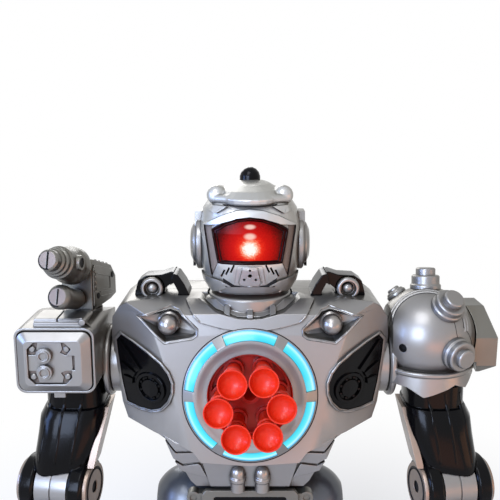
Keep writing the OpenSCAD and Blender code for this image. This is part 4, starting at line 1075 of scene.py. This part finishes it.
@dataclass
class Shoulders(SubAssembly):
    """The box with the cannon and the dome with its caps.

    Attributes:
        panel: Middle of the box's front panel, from the middle outwards and up.
        dome: Middle of the dome.
        dome_radius: Its radius.
        cannon_yaw: Outward turn of the cannon, in degrees.
        cannon_pitch: Its upward pitch, in degrees.
        rib_axis: Axis of the double rib that crosses the dome.
        rib_offsets: How far along that axis the rib's edges lie.
        rib_end: Height above the dome's middle at which they end.
    """

    parts: dict[str, Dressing] = field(default_factory=lambda: {
        "shoulder_box": Dressing(PEARL, 0.5),
        "box_panel": Dressing(PEARL, 0.3, 18.0, zones=(
            Zone(RECESS, recess_floor(-46.6, -45.9)),), turned_about=-117.0),
        "cannon_body": Dressing(PEARL_DARK, 0.25),
        "cannon_barrels": Dressing(PEARL_DARK, 0.3, zones=(Zone(RECESS, Shoulders.is_plug),)),
        "shoulder_dome": Dressing(PEARL, 0.3), "dome_caps": Dressing(PEARL, 0.3),
        "dome_pack": Dressing(PEARL_DARK, 0.4)})
    panel: tuple[float, float] = (117.0, 236.5)
    dome: Place = (115.0, -2.0, 240.0)
    dome_radius: float = 31.4
    cannon_yaw: float = 10.0
    cannon_pitch: float = 18.0
    rib_axis: Place = (-0.15, -0.86, 0.49)
    rib_offsets: Place = (18.95, 20.85, 22.75)
    rib_end: float = 9.6

    def details(self) -> list[Object]:
        """Adds the panel's relief, the cannon's slots, painted shade in its openings and muzzles, and the
        dome's lines.
        """
        return [
            self.panel_gap(), self.panel_cross(), self.panel_posts(), self.muzzle_inlays(),
            self.port_inlays(), self.roof_studs(), self.dome_lines(), self.dome_hole()] + self.flank_covers()

    @staticmethod
    def is_plug(at: Vector, way: Vector) -> bool:
        """Tells the plugs in the muzzles from the barrels by a face's middle and normal."""
        reach = (at - CANNON_PIVOT).dot(CANNON_AHEAD)
        return way.dot(CANNON_AHEAD) > 0.97 and min(abs(reach - plug) for plug in CANNON_PLUGS) < 0.9

    def on_panel(self, out: float, y: float, up: float) -> Vector:
        """Returns the frame's point for one given from the panel's middle."""
        return Side.RIGHT.at(self.panel[0] + out, y, self.panel[1] + up)

    def panel_gap(self) -> Object:
        """Returns the shadow gap round the front panel."""
        wide, high, corner = 22.25, 18.75, 5.2
        points = []
        for number, (sx, sz) in enumerate(((1, 1), (-1, 1), (-1, -1), (1, -1))):
            for step in range(6):
                turn = math.radians(90.0 * number + 18.0 * step)
                out = sx * (wide - corner) + corner * math.cos(turn)
                points.append(self.on_panel(out, -41.9, sz * (high - corner) + corner * math.sin(turn)))
        return finish_piece(bead("panel_gap", points, 0.42, True), DARK_JOINT_AND_SHADE, body_of("box_panel"))

    def panel_cross(self) -> Object:
        """Returns the stepped cross inside the panel's recess."""
        quarter = ((7.6, 12.6), (8.4, 8.6), (6.6, 6.4), (9.8, 5.0), (14.4, 5.0))
        half = list(quarter) + [(x, -z) for x, z in reversed(quarter)]
        outline = [self.on_panel(2.0 + x * 0.93, -46.0, z) for x, z in mirrored(half)]
        cross = plate("panel_cross", outline, FRONT * 1.1 * MM, 0.35)
        return finish_piece(cross, PEARL, body_of("box_panel"))

    def panel_posts(self) -> Object:
        """Returns the small posts in the recess's corners."""
        profile = ((0.0, 0.0), (1.9, 0.0), (1.9, 1.3), (1.4, 1.8), (0.0, 1.9))
        corners = ((10.2, 8.6), (-10.2, 8.6), (10.2, -8.6), (-10.2, -8.6))
        posts = [turned("post", profile, self.on_panel(2.0 + x, -46.0, z), FRONT, 16) for x, z in corners]
        return joined("panel_posts", posts, PEARL, body_of("box_panel"))

    def on_cannon(self, out: float, front: float, up: float, pitched: bool = True) -> Vector:
        """Returns the frame's point for one given from the cannon's pivot.

        Args:
            out: Millimetres outwards.
            front: Millimetres behind the pivot; forwards is minus.
            up: Millimetres above the pitch axis, or above the floor where it isn't pitched.
            pitched: Whether the point leans with the barrels.

        Returns:
            The point in metres.
        """
        if pitched:
            lean = math.radians(-self.cannon_pitch)
            cos, sin = math.cos(lean), math.sin(lean)
            front, up = front * cos - up * sin, 274.0 + front * sin + up * cos
        yaw = math.radians(self.cannon_yaw)
        cos, sin = math.cos(yaw), math.sin(yaw)
        return Side.RIGHT.at(105.5 + out * cos - front * sin, out * sin + front * cos, up)

    def cannon_way(self, out: float, front: float, up: float) -> Vector:
        """Returns a direction that is given in the pitched cannon's own frame."""
        return (self.on_cannon(out, front, up) - self.on_cannon(0.0, 0.0, 0.0)).normalized()

    def muzzle_inlays(self) -> Object:
        """Returns the dark slot in each muzzle plug, and a crescent of painted shadow along the plug's edge.
        """
        ahead = self.cannon_way(0.0, -1.0, 0.0)
        lines = []
        for face, up, radius in ((-60.62, 8.5, 4.9), (-43.52, -11.5, 5.2)):
            ends = [self.on_cannon(0.0, face, height) for height in (up - radius + 0.6, up + radius - 0.6)]
            lines.append(bead("slot", along(ends, 2.0), 0.42))
            # Painted shadow: a dark crescent along the plug's edge
            arc = ring_of(self.on_cannon(0.0, face + 0.4, up), ahead, radius + 0.4, 14, 150.0, 130.0)
            lines.append(bead("crescent", arc, 0.5))
        return joined("muzzle_inlays", lines, DARK_JOINT_AND_SHADE, body_of("cannon_barrels"))

    def port_inlays(self) -> Object:
        """Returns black discs in the cannon's openings: painted shade in the holes."""
        puck = ((0.0, 0.0), (1.0, 0.0), (1.0, 0.5), (0.0, 0.5))
        inward = self.cannon_way(-1.0, 0.0, 0.0)
        places = [(self.on_cannon(-10.6, -38.6, 9.5), inward, 2.9)]
        for sign in (1.0, -1.0):
            way = inward * -sign
            places += [(self.on_cannon(sign * 10.7, 15.5, 276.6, False), way, 2.0),
                       (self.on_cannon(sign * 10.7, -9.5, 268.4, False), way, 1.9)]
        plugs = [turned("plug", tuple((r * radius, h) for r, h in puck), place, way, 20)
                 for place, way, radius in places]
        return joined("cannon_openings", plugs, DARK_JOINT_AND_SHADE, body_of("cannon_body"))

    def roof_studs(self) -> Object:
        """Returns the small studs along the cannon's roof and flanks."""
        starts = [self.on_cannon(out, -10.0 + 6.4 * i, 60.0) for i in range(4) for out in (-7.8, 7.8)]
        places = laid_on(self.made["cannon_body"], starts, self.cannon_way(0.0, 0.0, -1.0), -0.3)
        profile = ((0.0, 0.0), (1.0, 0.0), (1.0, 0.8), (0.6, 1.3), (0.0, 1.4))
        studs = [turned("stud", profile, place, self.cannon_way(0.0, 0.0, 1.0), 12) for place in places]
        return joined("cannon_roof_studs", studs, PEARL, body_of("cannon_body"))

    def flank_covers(self) -> list[Object]:
        """Returns the covers on the cannon's flanks with their raised frames."""
        outline = (
            (-15.6, 263.4), (-15.6, 286.0), (-12.6, 289.2), (15.0, 280.6), (21.4, 273.2), (21.4, 265.0),
            (13.0, 262.6))
        frames = (
            ((-12.4, 272.6), (-12.4, 283.6), (11.0, 276.4), (11.0, 268.4)), ((-6.0, 270.0), (17.0, 265.6)),
            ((-6.0, 267.2), (16.0, 263.8)))
        stud = ((0.0, -0.5), (0.9, -0.5), (0.9, 0.4), (0.5, 0.8), (0.0, 0.8))
        body = body_of("cannon_body")
        pieces = []
        for word, sign in (("inner", -1.0), ("outer", 1.0)):
            way = self.cannon_way(sign, 0.0, 0.0)
            corners = [self.on_cannon(sign * 9.6, front, up, False) for front, up in outline]
            cover = plate("cover", corners, way * 1.2 * MM, 0.4)
            details = []
            for run in frames:
                closed = len(run) > 2
                ends = [self.on_cannon(sign * 10.8, front, up, False) for front, up in run]
                details.append(bead("frame", along(ends, 6.0, closed), 0.35, closed))
            for i in range(5):
                base = self.on_cannon(sign * 10.8, -14.0, 285.0 - 3.2 * i, False)
                details.append(turned("stud", stud, base, way, 10))
            pieces.append(joined(f"cannon_flank_{word}", [cover] + details, PEARL_DARK, body))
        return pieces

    def on_dome(self, way: Sequence[float], lift: float = 0.0) -> Vector:
        """Returns the point of the dome's surface that lies in a direction from its middle."""
        return spot(*self.dome) + Vector(way).normalized() * (self.dome_radius + lift) * MM

    def dome_arc(self, ways: Sequence[Sequence[float]], lift: float) -> list[Vector]:
        """Returns a line over the dome through a few directions.

        Args:
            ways: The directions from the dome's middle.
            lift: Height above the surface, in millimetres.

        Returns:
            The points in metres.
        """
        found = []
        steps = 8
        for here, there in zip(ways, ways[1:]):
            found += [self.on_dome(Vector(here).lerp(Vector(there), i / steps), lift) for i in range(steps)]
        return found + [self.on_dome(ways[-1], lift)]

    def dome_lines(self) -> Object:
        """Returns the parting line and the curved seams of the dome."""
        lines = [bead("seam", self.dome_arc(ways, -0.05), 0.22) for ways in (
            ((11.3, -24.7, 15.8), (12.4, -27.3, 9.2), (13.5, -28.0, 4.0)),
            ((17.7, -23.0, 12.1), (22.0, -21.6, 6.4), (24.7, -19.4, 0.0), (25.6, -15.0, -8.0)))]
        rim = [spot(*self.dome) + Vector((31.5 * math.cos(a), 31.5 * math.sin(a), -15.6)) * MM
               for a in (math.radians(-128.0 + 106.0 * i / 24) for i in range(25))]
        lines.append(bead("rim", rim, 0.25))
        axis = Vector(self.rib_axis).normalized()
        count = 72
        for offset in self.rib_offsets:
            middle = spot(*self.dome) + axis * offset * MM
            round_it = ring_of(middle, axis, math.sqrt(self.dome_radius ** 2 - offset ** 2), count)
            level = middle.z - axis.z * offset * MM + self.rib_end * MM
            high = [i for i, point in enumerate(round_it) if point.z > level]
            first = next(i for i in high if (i - 1) % count not in high)
            lines.append(bead("rib_edge", [round_it[(first + i) % count] for i in range(len(high))], 0.2))
        return joined("dome_seams", lines, DARK_JOINT_AND_SHADE, body_of("shoulder_dome"))

    def dome_hole(self) -> Object:
        """Returns a black cup in the dome's screw hole: painted shade in the hole."""
        way = Vector((-0.634, -0.774, -0.05)).normalized()
        profile = ((0.0, -3.0), (2.6, -3.0), (2.6, -0.7), (2.1, -0.7), (2.1, -2.2), (0.0, -2.2))
        cup = turned("dome_screw_cup", profile, self.on_dome(way), way, 24)
        return finish_piece(cup, DARK_JOINT_AND_SHADE, body_of("shoulder_dome"))


@dataclass
class Limbs(SubAssembly):
    """Arms, hands, legs, feet and rollers.

    Attributes:
        cap_face: Distance of the elbow caps' faces from the pin's middle.
        groove_radius: Radius of the groove in them.
    """

    parts: dict[str, Dressing] = field(default_factory=lambda: {
        name + side: entry for side in ("_left", "_right") for name, entry in {
            "upper_arm": Dressing(PIANO, 0.5), "elbow_caps": Dressing(PEARL_WARM, 0.25),
            "forearm": Dressing(PEARL, 0.35), "hand": Dressing(PIANO, 0.4), "leg": Dressing(GREY_ABS, 0.5),
            "shin_guard": Dressing(PEARL, 0.35), "foot": Dressing(PEARL, 0.5),
            "front_roller": Dressing(RUBBER, 0.2), "rear_roller": Dressing(RUBBER, 0.2)}.items()})
    cap_face: float = 23.4
    groove_radius: float = 12.0

    def details(self) -> list[Object]:
        """Adds the elbow grooves and the arms' creases."""
        return [make(side) for side in Side for make in (self.elbow_inlays, self.arm_creases)]

    def elbow_inlays(self, side: Side) -> Object:
        """Returns the black groove rings and centres of one elbow's caps.

        Args:
            side: Which arm.

        Returns:
            The inlays.
        """
        profile = ((0.0, -0.8), (4.0, -0.8), (4.0, 0.1), (3.3, 0.5), (3.3, -0.2), (0.0, -0.2))
        pieces = []
        for sign in (1.0, -1.0):
            middle = side.elbow(sign * (self.cap_face - 0.6), 0.0, 0.0)
            axis = (side.elbow(sign, 0.0, 0.0) - side.elbow(0.0, 0.0, 0.0)).normalized()
            pieces.append(bead("groove", ring_of(middle, axis, self.groove_radius, 40), 1.2, True))
            pieces.append(turned("centre", profile, middle, axis, 24))
        return joined(f"elbow_inlays_{side.tag}", pieces, DARK_JOINT_AND_SHADE, body_of("elbow_caps_" + side.tag))

    def arm_creases(self, side: Side) -> Object:
        """Returns the moulded creases down the front of one upper arm.

        Args:
            side: Which arm.

        Returns:
            The creases.
        """
        shift = 4.0 if side is Side.LEFT else -3.0
        lines = []
        for top, low in ((110.0, 117.0), (121.0, 127.0), (131.0, 137.5)):
            ends = [side.at(x + shift, CHEST_AHEAD_MM, z) for x, z in ((top, 206.0), (low, 164.0))]
            points = laid_on(self.made["upper_arm_" + side.tag], along(ends, 3.0), BACK, -1.0)
            if len(points) > 2:
                lines.append(bead("crease", points, 1.5))
        return joined(f"arm_creases_{side.tag}", lines, PIANO, body_of("upper_arm_" + side.tag))


# ---------------------------------------------------------------- studio


@dataclass
class Studio:
    """Camera, pale floor and soft lamps.

    Attributes:
        eye: Place of the camera, in millimetres from the neck's upright.
        pitch: How far the camera looks down, in degrees.
        lens: Focal length on a 36 mm sensor.
        lamps: Name, place, size in metres, watts and colour of each soft lamp.
    """

    eye: Place = (0.0, -442.5, 384.14)
    pitch: float = 11.3
    lens: float = 50.4
    lamps: tuple[tuple[str, Place, float, float, str], ...] = (
        ("key_softbox", (-430.0, -900.0, 520.0), 0.5, 11.4, "#cbddff"),
        ("side_softbox", (-900.0, -330.0, 430.0), 0.35, 5.4, "#8fb4ff"),
        ("top_softbox", (-200.0, -580.0, 1100.0), 0.5, 5.6, "#f2f6ff"),
        ("warm_fill", (760.0, -480.0, 70.0), 0.4, 1.3, "#ffac6c"),
        ("table_bounce", (200.0, -560.0, 20.0), 0.4, 0.8, "#ff9248"),
        ("back_rim", (-250.0, 900.0, 700.0), 0.6, 4.0, "#ffffff"))

    def camera(self) -> None:
        """Sets the camera at the photograph's angle."""
        data = bpy.data.cameras.new("studio_camera")
        data.lens = self.lens
        data.sensor_width = 36.0
        data.clip_start = 0.01
        body = bpy.data.objects.new("studio_camera", data)
        body.location = spot(*self.eye)
        body.rotation_euler = (math.radians(90.0 - self.pitch), 0.0, 0.0)
        bpy.context.scene.collection.objects.link(body)
        bpy.context.scene.camera = body

    def floor(self) -> None:
        """Lays a wide pale floor that keeps the robot's shadow."""
        clear_selection()
        bpy.ops.mesh.primitive_plane_add(size=40.0, location=(0.0, 0.0, -0.0002))
        plane = bpy.context.object
        plane.name = "studio_floor"
        settle(plane)
        made = bpy.data.materials.new("pale_floor")
        made.use_nodes = True
        tree = made.node_tree
        tree.nodes.remove(tree.nodes["Principled BSDF"])
        place = add_node(tree, "ShaderNodeTexCoord").outputs["Object"]
        # The floor keeps some shadow round the feet, and turns white further out
        white_share = eased(tree, placed(tree, "LENGTH", place, out="Value"), 0.1, 0.5, 0.5, 1.0)
        matt = add_node(tree, "ShaderNodeBsdfDiffuse", {}, {"Color": linear("#f4f4f4")})
        white = add_node(tree, "ShaderNodeEmission", {}, {"Color": linear("#ffffff"), "Strength": 1.0})
        both = add_node(tree, "ShaderNodeMixShader", {}, {
            0: worked(tree, "MULTIPLY", self.seen_rays(tree), white_share), 1: matt.outputs["BSDF"],
            2: white.outputs["Emission"]})
        tree.links.new(both.outputs["Shader"], tree.nodes["Material Output"].inputs["Surface"])
        plane.data.materials.append(made)

    @staticmethod
    def seen_rays(tree: NodeTree) -> NodeSocket:
        """Adds a factor that is one for what the camera, a mirror or a glass sees.

        Args:
            tree: The node tree.

        Returns:
            The factor's socket.
        """
        seen = add_node(tree, "ShaderNodeLightPath").outputs
        first = worked(tree, "MAXIMUM", seen["Is Camera Ray"], seen["Is Glossy Ray"])
        return worked(tree, "MAXIMUM", first, seen["Is Transmission Ray"])

    def surroundings(self) -> None:
        """Surrounds the scene with soft light and a white view."""
        world = bpy.data.worlds.new("studio_world")
        world.use_nodes = True
        tree = world.node_tree
        tree.nodes.remove(tree.nodes["Background"])
        soft = add_node(tree, "ShaderNodeBackground", {}, {"Color": linear("#f2f0ea"), "Strength": 0.12})
        white = add_node(tree, "ShaderNodeBackground", {}, {"Color": linear("#ffffff"), "Strength": 1.0})
        both = add_node(tree, "ShaderNodeMixShader", {}, {
            0: self.seen_rays(tree), 1: soft.outputs["Background"], 2: white.outputs["Background"]})
        tree.links.new(both.outputs["Shader"], tree.nodes["World Output"].inputs["Surface"])
        bpy.context.scene.world = world

    def lamp(self, name: str, place: Sequence[float], size: float, power: float, colour: str) -> None:
        """Hangs one soft square lamp that points at the chest.

        Args:
            name: Its name.
            place: Millimetres from the neck's upright on the floor.
            size: Side of the square in metres.
            power: Watts.
            colour: Its light.
        """
        data = bpy.data.lights.new(name, "AREA")
        data.size = size
        data.energy = power
        data.color = linear(colour)[:3]
        body = bpy.data.objects.new(name, data)
        body.location = spot(*place)
        aim = spot(0.0, 0.0, 210.0) - body.location
        body.rotation_euler = aim.to_track_quat("-Z", "Y").to_euler()
        bpy.context.scene.collection.objects.link(body)

    def build(self) -> None:
        """Sets up the whole studio."""
        self.camera()
        self.floor()
        self.surroundings()
        for lamp in self.lamps:
            self.lamp(*lamp)
        bpy.context.scene.view_settings.view_transform = "Standard"


def main() -> None:
    """Builds the robot and its studio, piece by piece."""
    Studio().build()
    for part in (Torso(), Launcher(), Head(), Shoulders(), Limbs()):
        pieces = part.build()
        LOG.info("%s: %d pieces", type(part).__name__, len(pieces))


if __name__ == "__main__":
    logging.basicConfig(level=logging.INFO, format="%(name)s %(message)s")
    FRAME.update(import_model())
    main()
